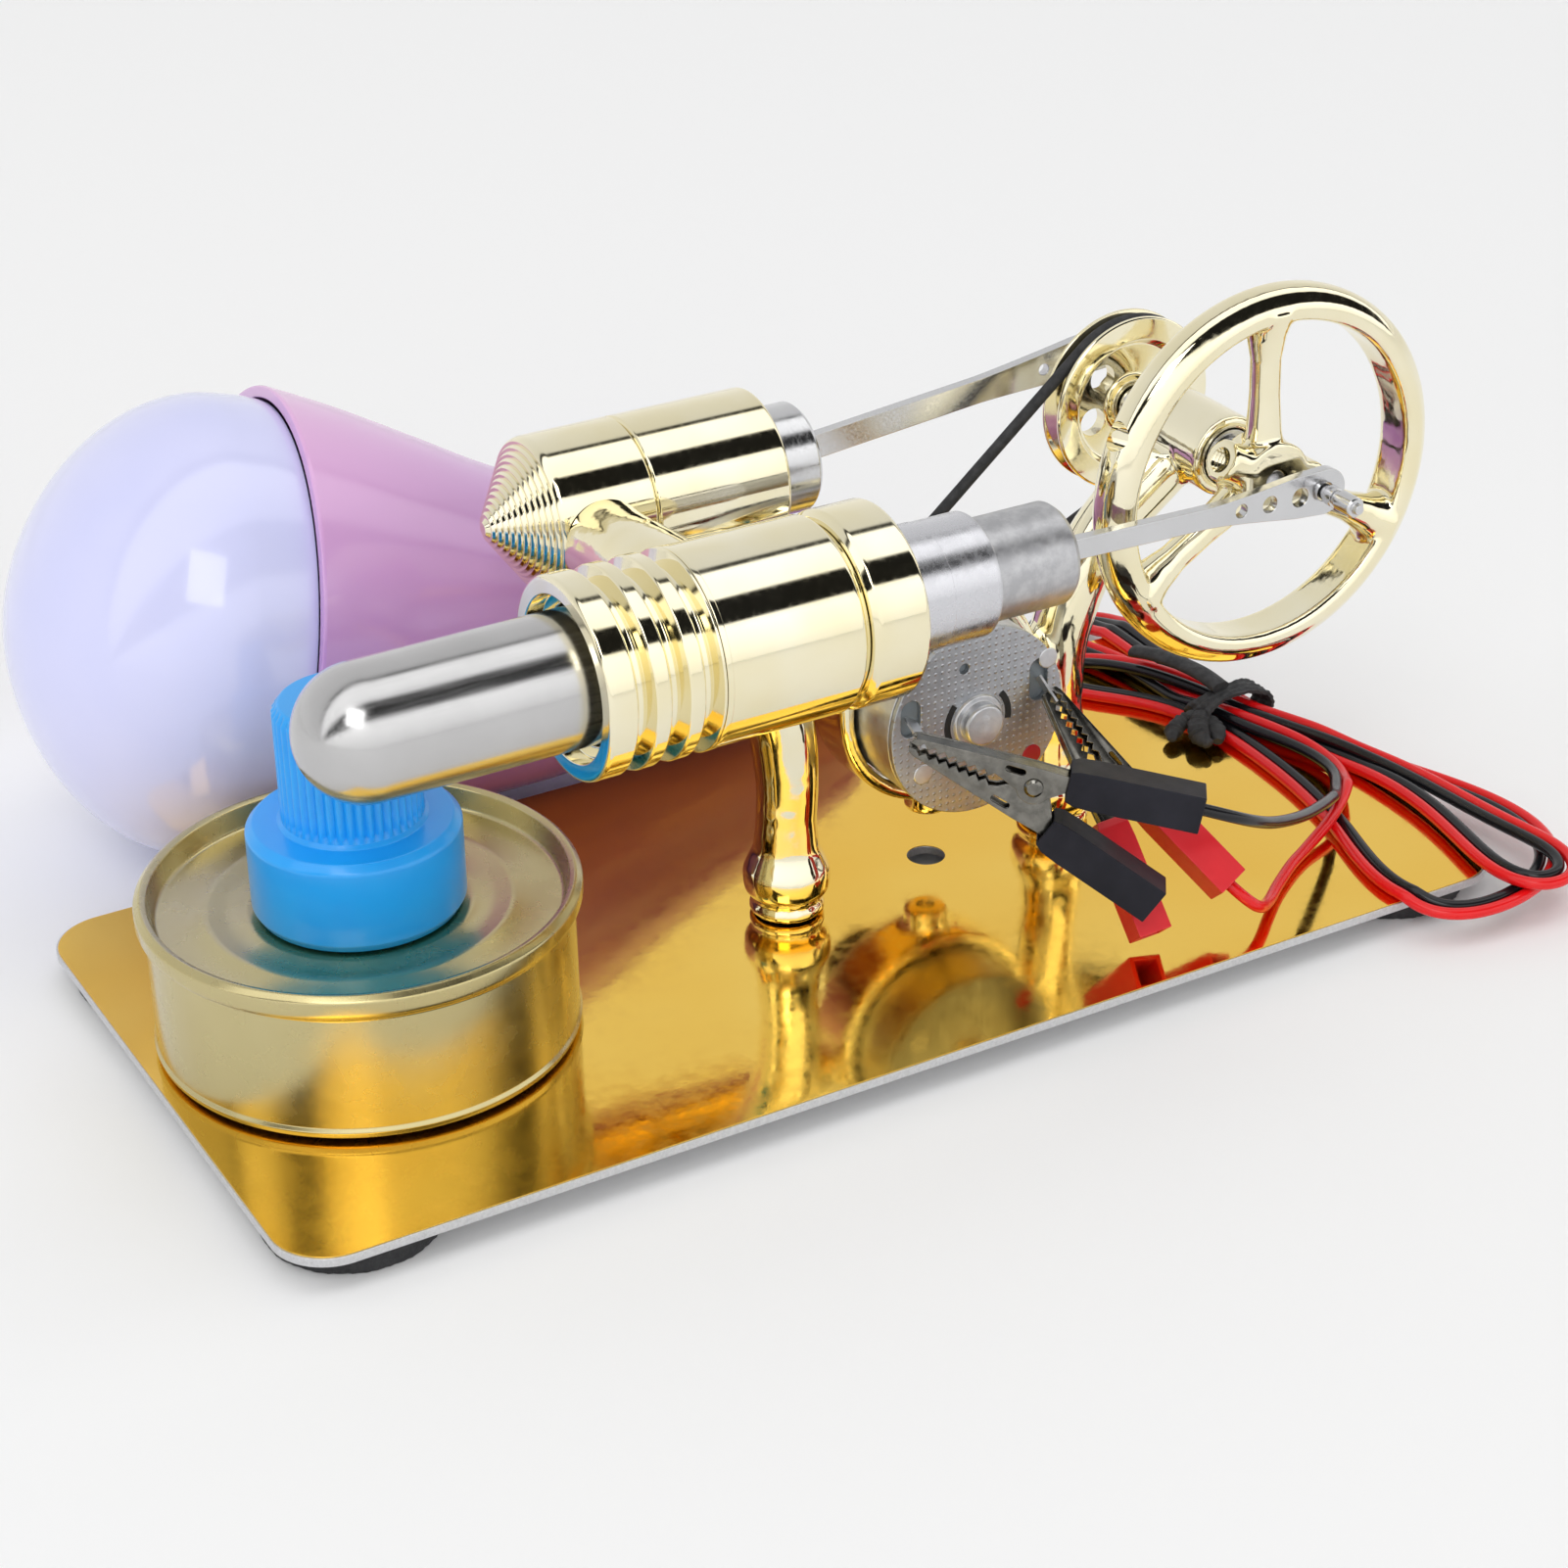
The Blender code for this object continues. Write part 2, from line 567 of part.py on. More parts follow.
def flywheel():
    middle = (FLYWHEEL_RADIUS + FLYWHEEL_INNER) / 2
    deep, wide = (FLYWHEEL_RADIUS - FLYWHEEL_INNER) / 2, FLYWHEEL_WIDTH / 2
    rim = []
    for i in range(8):
        c, s = math.cos(math.tau * (i + 0.5) / 8), math.sin(math.tau * (i + 0.5) / 8)
        rim.append((middle + deep * math.copysign(abs(c) ** 0.62, c),
                    wide * math.copysign(abs(s) ** 0.62, s)))
    wheel = turned("flywheel", rim, "gold_plating", (CRANK_X, FLYWHEEL_Y, AXIS_Z), AXIS_Y, 40)
    hub = sleeve("hub", 6.6, SHAFT_RADIUS + GAP, (CRANK_X, 29.7, AXIS_Z), 7.8, None, steps=20)
    spokes = [tube(f"spoke_{i}", [(*radial(angle, 4.5, FLYWHEEL_Y), 3.1),
                                  (*radial(angle, 14.0, FLYWHEEL_Y), 2.5),
                                  (*radial(angle, 23.5, FLYWHEEL_Y), 2.8),
                                  (*radial(angle, 28.0, FLYWHEEL_Y), 3.8)], 2.5, None)
              for i, angle in enumerate(SPOKE_ANGLES)]
    boss = rod("crank_boss", 3.6, radial(DISPLACER_CRANK_ANGLE, CRANK_RADIUS, 29.5), 6.0, None)
    screw_boss = tube("screw_boss", [radial(SET_SCREW_ANGLE, 4.0, FLYWHEEL_Y),
                                     radial(SET_SCREW_ANGLE, 9.8, FLYWHEEL_Y)], 3.0, None)
    joined(wheel, [hub, *spokes, boss, screw_boss])
    way = rod("shaft_way", SHAFT_RADIUS + GAP, (CRANK_X, 28.0, AXIS_Z), 12.0, None)
    thread = tube("thread", [radial(SET_SCREW_ANGLE, 1.0, FLYWHEEL_Y),
                             radial(SET_SCREW_ANGLE, 11.0, FLYWHEEL_Y)], 1.5, None, resolution=1)
    key_way = tube("key_way", [radial(SET_SCREW_ANGLE + 0.07, 24.0, FLYWHEEL_Y),
                               radial(SET_SCREW_ANGLE + 0.07, 34.0, FLYWHEEL_Y)], 2.4, None)
    cut(wheel, [way, thread, key_way])
    tube("flywheel_screw", [radial(SET_SCREW_ANGLE, 2.6, FLYWHEEL_Y),
                            radial(SET_SCREW_ANGLE, 8.4, FLYWHEEL_Y)], 1.2, "steel", resolution=1)


def pulley_wheel():
    outer, groove, inner = WHEEL_RADIUS, 12.0, 10.9
    profile = [(inner, 69.2), (inner + 0.4, 68.9), (outer - 0.3, 68.9), (outer, 69.2),
               (outer, 69.6), (groove, 70.1), (groove, 72.9), (outer, 73.4), (outer, 73.9),
               (outer - 0.3, 74.2), (inner + 0.4, 74.2), (inner, 73.9), (inner - 0.5, 72.6),
               (4.6, 72.6), (4.6, 74.2), (SHAFT_RADIUS + GAP, 74.2), (SHAFT_RADIUS + GAP, 68.9),
               (4.6, 68.9), (4.6, 70.4), (inner - 0.5, 70.4)]
    wheel = turned("pulley_wheel", profile, "gold_plating", (CRANK_X, 0, AXIS_Z), AXIS_Y, 28)
    x, z = crank_pin(POWER_CRANK_ANGLE)
    boss = rod("crank_boss", 2.9, (x, 70.9, z), 3.3, None)
    joined(wheel, [boss])
    holes = [rod(f"hole_{i}", 2.5, radial(POWER_CRANK_ANGLE + math.tau * (i + 1) / 6, 7.6, 66.0),
                 10.0, None, steps=8) for i in range(5)]
    cut(wheel, holes)


def drive_belt():
    """A round belt over the wheel and the generator's pulley, in one plane."""
    big, small = WHEEL_BELT_RADIUS, GENERATOR_BELT_RADIUS
    span = math.hypot(CRANK_X - GENERATOR_X, AXIS_Z - GENERATOR_Z)
    line = math.atan2(AXIS_Z - GENERATOR_Z, CRANK_X - GENERATOR_X)
    lean = math.acos((big - small) / span)
    loop = arc((CRANK_X, AXIS_Z), big, line - math.pi + lean, line + math.pi - lean, 22)
    loop += arc((GENERATOR_X, GENERATOR_Z), small, line + math.pi - lean, line + math.pi + lean, 12)
    tube("drive_belt", [(x, BELT_Y, z) for x, z in loop], 1.05, "black_rubber", cyclic=True,
         resolution=1)


# Generator


def generator():
    at = (GENERATOR_X, 0, GENERATOR_Z)
    outer = GENERATOR_RADIUS
    profile = [(outer, 38.9), (outer, 61.4), (outer - 0.7, 62.0), (4.8, 62.0), (4.8, 64.0),
               (1.6, 64.0), (1.6, 60.8), (14.9, 60.8), (14.9, 38.9)]
    turned("generator_can", profile, "zinc_plate", at, AXIS_Y, 28)
    face = [(0, 35.2), (3.6, 35.2), (3.6, 37.0), (4.8, 37.0), (4.8, 37.6), (outer - 0.5, 37.6),
            (outer, 38.1), (outer, 38.6), (0, 38.6)]
    plate = turned("generator_end_plate", face, "zinc_plate", at, AXIS_Y, 28)
    slots = [box("slot", (width, 4.0, height), None, (x, 38.0, z))
             for x, z, width, height in ((122.8, 41.4, 3.6, 6.0), (146.0, 39.6, 5.0, 9.4))]
    cut(plate, [*slots, rod("hole", 0.9, (132.7, 36.0, 47.7), 4.0, None, steps=8)])
    shaft = GENERATOR_SHAFT
    rotor = [(0, 39.4), (shaft, 39.4), (shaft, 42.0), (11.0, 42.0), (11.0, 56.0), (shaft, 56.0),
             (shaft, 73.8), (0, 73.8)]
    turned("generator_armature", rotor, "steel", at, AXIS_Y, 20)
    pulley = [(7.3, 69.2), (7.3, 69.6), (4.8, 70.1), (4.8, 72.9), (7.3, 73.4), (7.3, 73.9),
              (shaft + GAP, 73.9), (shaft + GAP, 69.2)]
    turned("generator_pulley", pulley, "brass", at, AXIS_Y, 20)


def clip_frame(colour):
    """The clip's tip, its long direction, the direction its jaws open in, and its size."""
    tip, heading, pitch, roll, size = CLIPS[colour]
    heading, pitch, roll = map(math.radians, (heading, pitch, roll))
    flat = Vector((math.cos(heading), math.sin(heading), 0))
    along = flat * math.cos(pitch) + AXIS_UP * math.sin(pitch)
    rise = AXIS_UP * math.cos(pitch) - flat * math.sin(pitch)
    opening = Quaternion(along, roll) @ rise
    return Vector(tip), along, opening, size


def axes_turn(along, opening):
    """The turn that takes local x to along and local y to opening, squared up to it."""
    along = along.normalized()
    across = along.cross(opening).normalized()
    opening = across.cross(along)
    return Matrix([[along[i], opening[i], across[i]] for i in range(3)]).to_quaternion()


def terminals():
    """Tags that stand out of the end plate's slots, each bent to lie between a clip's jaws."""
    for name, colour, start in (("terminal_left", "black", (122.8, 38.0, 41.4)),
                                ("terminal_right", "red", (146.9, 38.0, 42.8))):
        tip, along, opening, size = clip_frame(colour)
        root = Vector(start)
        end = tip + along * 3.0 * size
        reach = end - root
        box(name, (reach.length - 0.6, 0.4, 2.0), "zinc_plate", (root + end) / 2,
            axes_turn(reach, opening))


def clips():
    """Each clip in its own plane: u from tip to grip, v the way the upper jaw opens."""
    for colour in CLIPS:
        tip, along, opening, size = clip_frame(colour)
        turn = axes_turn(along, opening)
        rivet = tip + (along * RIVET_AT[0] + opening * RIVET_AT[1]) * size
        for part, sign in (("upper", 1), ("lower", -1)):
            edge = [(0.0, 0.35), (21.0, 1.2), (27.0, 3.4), (44.0, 7.4), (44.0, 8.2), (26.0, 6.0),
                    (19.0, 5.2), (1.0, 1.6)]
            loop = [(size * u - size * RIVET_AT[0], size * (sign * v - RIVET_AT[1]))
                    for u, v in edge]
            outline(f"clip_{colour}_jaw_{part}", [loop], 3.2 * size, "zinc_plate", rivet, turn)
            centre = Vector((size * (36.5 - RIVET_AT[0]), size * (sign * 6.7 - RIVET_AT[1]), 0))
            grip = box(f"clip_{colour}_sleeve_{part}", (22.0 * size, 6.4 * size, 6.4 * size),
                       f"{colour}_plastic", rivet,
                       turn @ Quaternion(AXIS_UP, sign * math.radians(12)), 0.5)
            grip.location = (rivet + turn @ centre) * MM
            hollow_sleeve(grip, colour, part, size)


def hollow_sleeve(grip, colour, part, size):
    """A tunnel through the sleeve, clear of the jaw's tail that runs in it."""
    way = box("way", (24.0 * size, 4.6 * size, 4.8 * size), None)
    way.location = grip.location
    way.rotation_mode = "QUATERNION"
    way.rotation_quaternion = grip.rotation_quaternion
    cut(grip, [way])


# Burner


def burner():
    outer, rim, top = TIN_RADIUS, TIN_RIM_RADIUS, TIN_TOP
    bottom = PLATE_TOP + GAP
    tin = [(0, bottom), (outer - 0.8, bottom), (outer, bottom + 0.9), (outer, 27.4), (rim, 28.2),
           (rim, top - 0.5), (rim - 0.7, top), (rim - 1.7, top - 0.5), (rim - 2.3, LID_TOP),
           (20.0, LID_TOP), (8.2, LID_TOP), (8.2, LID_TOP - 0.6), (outer - 1.2, LID_TOP - 0.6),
           (outer - 0.7, bottom + 1.5), (0, bottom + 0.8)]
    at = (*BURNER, 0)
    turned("burner_tin", tin, "tin_lacquer", at, steps=32)
    collar = [(7.9, 22.0), (7.9, LID_TOP + GAP), (12.0, LID_TOP + GAP), (12.0, 28.7), (9.4, 28.7),
              (9.4, 38.0), (3.2, 38.0), (3.2, 22.0)]
    turned("burner_collar", collar, "brass", at)
    rod("burner_wick", 2.9, (*BURNER, 8.0), 35.0, "wick_cotton", AXIS_UP, 12)
    inner = 8.6
    cap = [(CAP_FLANGE_RADIUS - 0.8, 27.6), (CAP_FLANGE_RADIUS, 28.6), (CAP_FLANGE_RADIUS, 40.9),
           (CAP_FLANGE_RADIUS - 1.0, 42.1), (CAP_RADIUS, 42.5), (CAP_RADIUS, CAP_TOP - 0.8),
           (CAP_RADIUS - 0.8, CAP_TOP), (0, CAP_TOP), (0, 60.2), (inner, 60.2), (inner, 40.0),
           (13.6, 40.0), (13.6, 27.6)]
    first = cap.index((0, CAP_TOP))
    turned("burner_cap", cap[first + 1:] + cap[:first + 1], "blue_plastic", at, steps=28)


# Bulb


def bulb_axis():
    level = math.cos(BULB_TILT)
    return Vector((math.cos(BULB_HEADING) * level, math.sin(BULB_HEADING) * level,
                   math.sin(BULB_TILT)))


def dome_radius(station, radius, tip):
    """Radius of the dome at a station between its widest place and its tip."""
    t = min(1.0, max(0.0, (station - DOME_WIDEST) / (tip - DOME_WIDEST)))
    return radius * (1 - t**DOME_POWER) ** (1 / DOME_POWER)


def bulb():
    axis = bulb_axis()
    stations = [DOME_WIDEST + (DOME_TIP - DOME_WIDEST) * math.sin(math.pi / 2 * i / 6)
                for i in range(7)]
    wall = 1.2
    outside = [(38.3, 0.4), (38.6, 4.0)]
    outside += [(dome_radius(s, DOME_RADIUS, DOME_TIP), s) for s in stations]
    inside = [(dome_radius(s, DOME_RADIUS, DOME_TIP) * (1 - wall / DOME_RADIUS),
               s - wall * (s - DOME_WIDEST) / (DOME_TIP - DOME_WIDEST))
              for s in reversed(stations)]
    outside[-1] = (0, DOME_TIP)
    inside[0] = (0, DOME_TIP - wall)
    turned("bulb_diffuser", [*outside, *inside, (37.1, 0.4)], "diffuser_plastic", BULB_SEAM, axis,
           28)
    body = [(radius, -station) for station, radius in BULB_BODY]
    hollow = [(radius - 1.5, -station) for station, radius in reversed(BULB_BODY[1::2])]
    profile = [(2.6, -BULB_BODY_LENGTH), *body, (38.9, 0.0), *hollow, (2.6, -BULB_BODY[1][0])]
    turned("bulb_body", profile, "pink_plastic", BULB_SEAM, axis, 28)
    rod("bulb_led_board", 33.0, BULB_SEAM - axis * 7.0, 1.6, "aluminium", axis, 24)
    gland = [(0, 0.3), (4.2, 0.3), (4.2, 2.0), (2.6, 8.0), (0, 8.0)]
    turned("bulb_gland", gland, "black_rubber", BULB_SEAM - axis * BULB_BODY_LENGTH, -axis, 12)


# Cable


def cable():
    (ax, ay, ar), (bx, by, br) = HANK_ENDS
    line = math.atan2(by - ay, bx - ax)
    lean = math.acos((ar - br) / math.hypot(bx - ax, by - ay))
    edge = arc((ax, ay), ar, line + lean, line + math.tau - lean, 10)
    edge += arc((bx, by), br, line - lean, line + lean, 14)
    middle = (HANK_BOTTOM + HANK_TOP) / 2
    outline("cable_hank", [edge], HANK_TOP - HANK_BOTTOM, "red_plastic", (0, 0, middle))
    tube("cable_run", smooth_route(CABLE_ROUTE, 3), CABLE_RADIUS, "black_plastic", resolution=1)
    for colour, route in LEAD_ROUTES.items():
        tube(f"lead_{colour}", smooth_route(route, 3), LEAD_RADIUS, f"{colour}_plastic",
             resolution=1)


base_plate()
feet()
engine_frame()
frame_screws()
hot_cap()
heat_sink()
displacer_cylinder()
displacer_guide()
displacer()
displacer_linkage()
cylinder_nose()
power_cylinder()
power_piston()
power_linkage()
crankshaft()
flywheel()
pulley_wheel()
drive_belt()
generator()
terminals()
clips()
burner()
bulb()
cable()
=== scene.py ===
from math import acos, atan2, copysign, cos, hypot, pi, radians, sin, tan, tau

import bmesh
import bpy
import numpy as np
from mathutils import Matrix, Quaternion, Vector

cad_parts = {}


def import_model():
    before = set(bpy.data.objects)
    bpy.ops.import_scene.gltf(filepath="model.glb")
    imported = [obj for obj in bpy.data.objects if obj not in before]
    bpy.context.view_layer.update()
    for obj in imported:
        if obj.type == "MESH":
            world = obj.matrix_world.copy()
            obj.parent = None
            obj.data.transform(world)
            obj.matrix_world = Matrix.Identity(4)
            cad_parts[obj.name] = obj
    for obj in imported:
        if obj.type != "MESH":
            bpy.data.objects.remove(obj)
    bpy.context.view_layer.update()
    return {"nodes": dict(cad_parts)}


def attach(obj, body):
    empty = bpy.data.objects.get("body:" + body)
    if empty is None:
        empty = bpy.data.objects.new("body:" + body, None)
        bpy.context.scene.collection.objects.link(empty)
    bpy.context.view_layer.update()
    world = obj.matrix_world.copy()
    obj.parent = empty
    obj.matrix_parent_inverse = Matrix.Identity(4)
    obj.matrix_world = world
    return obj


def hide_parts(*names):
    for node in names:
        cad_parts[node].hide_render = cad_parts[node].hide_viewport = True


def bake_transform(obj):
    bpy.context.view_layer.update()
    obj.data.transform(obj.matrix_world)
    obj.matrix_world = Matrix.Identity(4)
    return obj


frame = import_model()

NODES = frame["nodes"]
MM = 0.001
QUARTER = pi / 2
# Every place below is in millimetres from the plate's near left corner, z from the table.
CORNER = Vector((-109.2, -83.7, 0.0))
AXIS_X = Vector((1, 0, 0))
AXIS_Y = Vector((0, 1, 0))
AXIS_UP = Vector((0, 0, 1))

PLATE_LENGTH = 216.5
PLATE_WIDTH = 106.0
PLATE_BOTTOM = 4.0
PLATE_TOP = 5.6
FOOT_INSET = 14.7
DISPLACER_Y = 26.5
POWER_Y = 79.5
AXIS_Z = 70.3
FRAME_Y = 53.0
LEG_FEET = ((107.1, 50.0), (161.1, FRAME_Y))
CRANK_X = 186.35
CRANK_RADIUS = 6.84
FRONT_CRANK_ANGLE = radians(-13)
REAR_CRANK_ANGLE = radians(77)
FLYWHEEL_Y = 33.6
SPOKE_ANGLES = [radians(angle) for angle in (92, -28, 212)]
SET_SCREW_ANGLE = radians(152)
SET_SCREW_Y = FLYWHEEL_Y - 0.6
RIM_HOLE_ANGLE = SET_SCREW_ANGLE + 0.07
GENERATOR_X = 135.4
GENERATOR_Z = 37.9
CLAMP_X = GENERATOR_X + 0.3
BELT_Y = 71.5
BURNER = (34.8, 53.3, 0.0)
BULB_SEAM = Vector((47.9, 127.3, 39.5))
BULB_HEADING = radians(173.05)
BULB_TILT = radians(12.6)
DOME_START, DOME_END, DOME_RADIUS, DOME_POWER = 9.2, 40.6, 38.7, 1.84
RIVET_AT = (21.0, 1.6)
# Each clip's tip, heading, pitch and roll in degrees, and size
CLIPS = {
    "black": ((118.0, 30.0, 42.3), -37.6, -22.6, -5.0, 0.96),
    "red": ((147.6, 36.0, 40.7), -71.6, -45.0, -66.0, 0.88),
}
# The main view: turn, height and tilt in degrees, place in metres, lens in millimetres
VIEW_ANGLES = (-29.7253, 28.5414, -0.7069)
VIEW_PLACE = (-0.23188, -0.43564, 0.28041)
VIEW_LENS, VIEW_SENSOR = 75.82, 36.0
# The sky's brightness by its turn about the cylinders' line, in degrees
SKY_BANDS = [(-180, 0.8), (0, 1.05), (36, 1.5), (41, 1.4), (43.5, 0.012), (70, 0.012), (73, 1.3),
             (106, 1.5), (109, 0.06), (113, 0.06), (116, 0.72), (150, 0.80), (178, 0.9)]
# Places of the colour sockets on a Mix node
MIX_A, MIX_B, MIX_OUT = 6, 7, 2


def world(point):
    """A place in millimetres from the plate's corner, in metres in the row frame."""
    return (Vector(point) + CORNER) * MM


def in_scene(name, data):
    """A new object in the scene that holds a mesh, curve, light or camera."""
    thing = bpy.data.objects.new(name, data)
    bpy.context.scene.collection.objects.link(thing)
    return thing


def add_node(tree, kind, inputs=None, **settings):
    """A new shader node. An input that is given as a socket is linked, any other is set."""
    node = tree.nodes.new("ShaderNode" + kind)
    for key, value in settings.items():
        setattr(node, key, value)
    for socket, value in (inputs or {}).items():
        if isinstance(value, bpy.types.NodeSocket):
            tree.links.new(value, node.inputs[socket])
        else:
            node.inputs[socket].default_value = value
    return node


# Camera, floor and light


def camera():
    """The camera looks down from the front left, rolled a little."""
    azimuth, elevation, roll = map(radians, VIEW_ANGLES)
    level = cos(elevation)
    back = Vector((sin(azimuth) * level, -cos(azimuth) * level, sin(elevation)))
    right = (-back).cross(AXIS_UP).normalized()
    up = right.cross(-back)
    turned_right = right * cos(roll) + up * sin(roll)
    turned_up = up * cos(roll) - right * sin(roll)
    eye = in_scene("camera", bpy.data.cameras.new("camera"))
    eye.data.sensor_width = VIEW_SENSOR
    eye.data.lens = VIEW_LENS
    eye.data.clip_start = 0.01
    eye.data.clip_end = 100.0
    basis = Matrix((turned_right, turned_up, back)).transposed().to_4x4()
    eye.matrix_world = Matrix.Translation(VIEW_PLACE) @ basis
    bpy.context.scene.camera = eye


def floor():
    reach = 30.0
    mesh = bpy.data.meshes.new("floor")
    corners = [(-reach, -reach, 0), (reach, -reach, 0), (reach, reach, 0), (-reach, reach, 0)]
    mesh.from_pydata(corners, [], [(0, 1, 2, 3)])
    paper = bpy.data.materials.new("floor_paper")
    paper.use_nodes = True
    sockets = paper.node_tree.nodes["Principled BSDF"].inputs
    sockets["Base Color"].default_value = (0.93, 0.93, 0.93, 1)
    sockets["Roughness"].default_value = 0.9
    sockets["Specular IOR Level"].default_value = 0.1
    mesh.materials.append(paper)
    in_scene("floor", mesh)


def plain_colours():
    """Shown colours are the surfaces' own, without a film curve."""
    view = bpy.context.scene.view_settings
    view.view_transform = "Standard"
    view.look = "None"


def sky():
    """Soft boxes in front, overhead and behind, with dark gaps between them, by the
    direction's turn about the cylinders' line; what the camera sees of it is plain white."""
    around = bpy.data.worlds.new("studio")
    bpy.context.scene.world = around
    around.use_nodes = True
    tree = around.node_tree
    tree.nodes.clear()
    place = add_node(tree, "TexCoord").outputs["Generated"]
    split = add_node(tree, "SeparateXYZ", {0: place}).outputs
    flip = add_node(tree, "Math", {0: split["Y"], 1: -1.0}, operation="MULTIPLY")
    turn = add_node(tree, "Math", {0: split["Z"], 1: flip.outputs[0]}, operation="ARCTAN2")
    share = add_node(tree, "MapRange", {"From Min": -pi, "From Max": pi,
                                        "Value": turn.outputs[0]})
    ramp = add_node(tree, "ValToRGB", {0: share.outputs["Result"]})
    stops = ramp.color_ramp.elements
    for index, (angle, light) in enumerate(SKY_BANDS):
        at = (angle + 180) / 360
        stop = stops[index] if index < 2 else stops.new(at)
        stop.position = at
        stop.color = (light, light, light, 1)
    boxes = add_node(tree, "Background", {"Color": ramp.outputs["Color"]})
    plain = add_node(tree, "Background", {"Color": (1, 1, 1, 1)})
    seen = add_node(tree, "LightPath").outputs["Is Camera Ray"]
    mix = add_node(tree, "MixShader", {0: seen, 1: boxes.outputs[0], 2: plain.outputs[0]})
    add_node(tree, "OutputWorld", {"Surface": mix.outputs[0]})


def lamp(name, place, target, size, power):
    light = in_scene(name, bpy.data.lights.new(name, "AREA"))
    light.data.size = size
    light.data.energy = power
    light.location = place
    light.rotation_mode = "QUATERNION"
    light.rotation_quaternion = (Vector(target) - Vector(place)).to_track_quat("-Z", "Y")


# Materials


class Maker:
    """Builds one node material on a Principled shader, in object coordinates."""

    def __init__(self, name, colour, metallic=0.0, roughness=0.4, **sockets):
        self.material = bpy.data.materials.new(name)
        self.material.use_nodes = True
        self.material.diffuse_color = (*colour, 1)
        self.tree = self.material.node_tree
        self.shader = self.tree.nodes["Principled BSDF"].inputs
        plain = {"Base Color": (*colour, 1), "Metallic": metallic, "Roughness": roughness}
        for socket, value in (plain | sockets).items():
            self.shader[socket.replace("_", " ")].default_value = value
        self.place = self.add("TexCoord").outputs["Object"]
        self.normal = None

    def add(self, kind, inputs=None, **settings):
        return add_node(self.tree, kind, inputs, **settings)

    def link(self, value, socket):
        self.tree.links.new(value, self.shader[socket])

    def noise(self, size_mm, detail=3.0, rough=0.55, stretch=(1, 1, 1)):
        place = self.add("Mapping", {"Scale": stretch, "Vector": self.place}).outputs[0]
        return self.add("TexNoise", {"Scale": 1.0 / (size_mm * MM), "Detail": detail,
                                     "Roughness": rough, "Vector": place}).outputs[0]

    def waves(self, axis, size_mm, distortion=0.0):
        return self.add("TexWave", {"Scale": 0.314 / (size_mm * MM), "Distortion": distortion,
                                    "Vector": self.place}, bands_direction=axis).outputs["Fac"]

    def spread(self, value, low, high, to_low=0.0, to_high=1.0):
        return self.add("MapRange", {"Value": value, "From Min": low, "From Max": high,
                                     "To Min": to_low, "To Max": to_high}).outputs["Result"]

    def patches(self, size_mm, detail=3.0, low=0.3, rough=0.55):
        """Soft patches from 0 to 1."""
        return self.spread(self.noise(size_mm, detail, rough), low, 1.0 - low)

    def along(self, axis, low_mm, high_mm):
        """0 to 1 between two stations, in millimetres from the plate's corner."""
        station = self.add("SeparateXYZ", {0: self.place}).outputs[axis]
        move = CORNER["XYZ".index(axis)]
        return self.spread(station, (low_mm + move) * MM, (high_mm + move) * MM)

    def blend(self, factor, first, second):
        """A mix of two colours, each a fixed one or a socket's."""
        first, second = ((*c, 1) if isinstance(c, tuple) else c for c in (first, second))
        inputs = {0: factor, MIX_A: first, MIX_B: second}
        return self.add("Mix", inputs, data_type="RGBA").outputs[MIX_OUT]

    def colour(self, factor, first, second):
        self.link(self.blend(factor, first, second), "Base Color")

    def roughness(self, value, low, high):
        self.link(self.spread(value, 0.35, 0.65, low, high), "Roughness")

    def bump(self, height, depth_mm):
        inputs = {"Strength": 1.0, "Distance": depth_mm * MM, "Height": height}
        if self.normal is not None:
            inputs["Normal"] = self.normal
        self.normal = self.add("Bump", inputs).outputs["Normal"]
        self.link(self.normal, "Normal")


def gold(name, wave_depth):
    """Pale bright gold plating: nearly a mirror, a little uneven, with fine specks."""
    m = Maker(name, (0.92, 0.86, 0.64), 1.0, 0.06)
    m.colour(m.patches(14.0, 2.0, 0.35), (0.93, 0.87, 0.66), (0.90, 0.82, 0.56))
    m.roughness(m.noise(1.1, 5.0), 0.035, 0.11)
    m.bump(m.noise(4.5, 2.0), wave_depth)
    m.bump(m.noise(0.5, 2.0), 0.0004)
    return m.material


def gold_foil():
    """Deep gold mirror film with a fine ripple and specks."""
    m = Maker("gold_film_look", (0.95, 0.60, 0.10), 1.0, 0.09)
    m.colour(m.patches(45.0, 2.0), (0.98, 0.66, 0.13), (0.93, 0.56, 0.075))
    m.roughness(m.noise(2.5, 6.0, 0.7), 0.05, 0.15)
    for size, detail, depth in ((9.0, 2.0, 0.03), (1.2, 3.0, 0.0045), (0.30, 2.0, 0.0008)):
        m.bump(m.noise(size, detail), depth)
    return m.material


def steel(name, stretch, tint, low, high):
    """Satin steel, with its finish drawn out along one axis."""
    m = Maker(name, tint, 1.0, 0.26)
    lines = m.noise(0.5, 3.0, 0.6, stretch)
    m.colour(m.patches(9.0), tint, tuple(part * 0.93 for part in tint))
    m.roughness(lines, low, high)
    m.bump(lines, 0.0012)
    return m.material


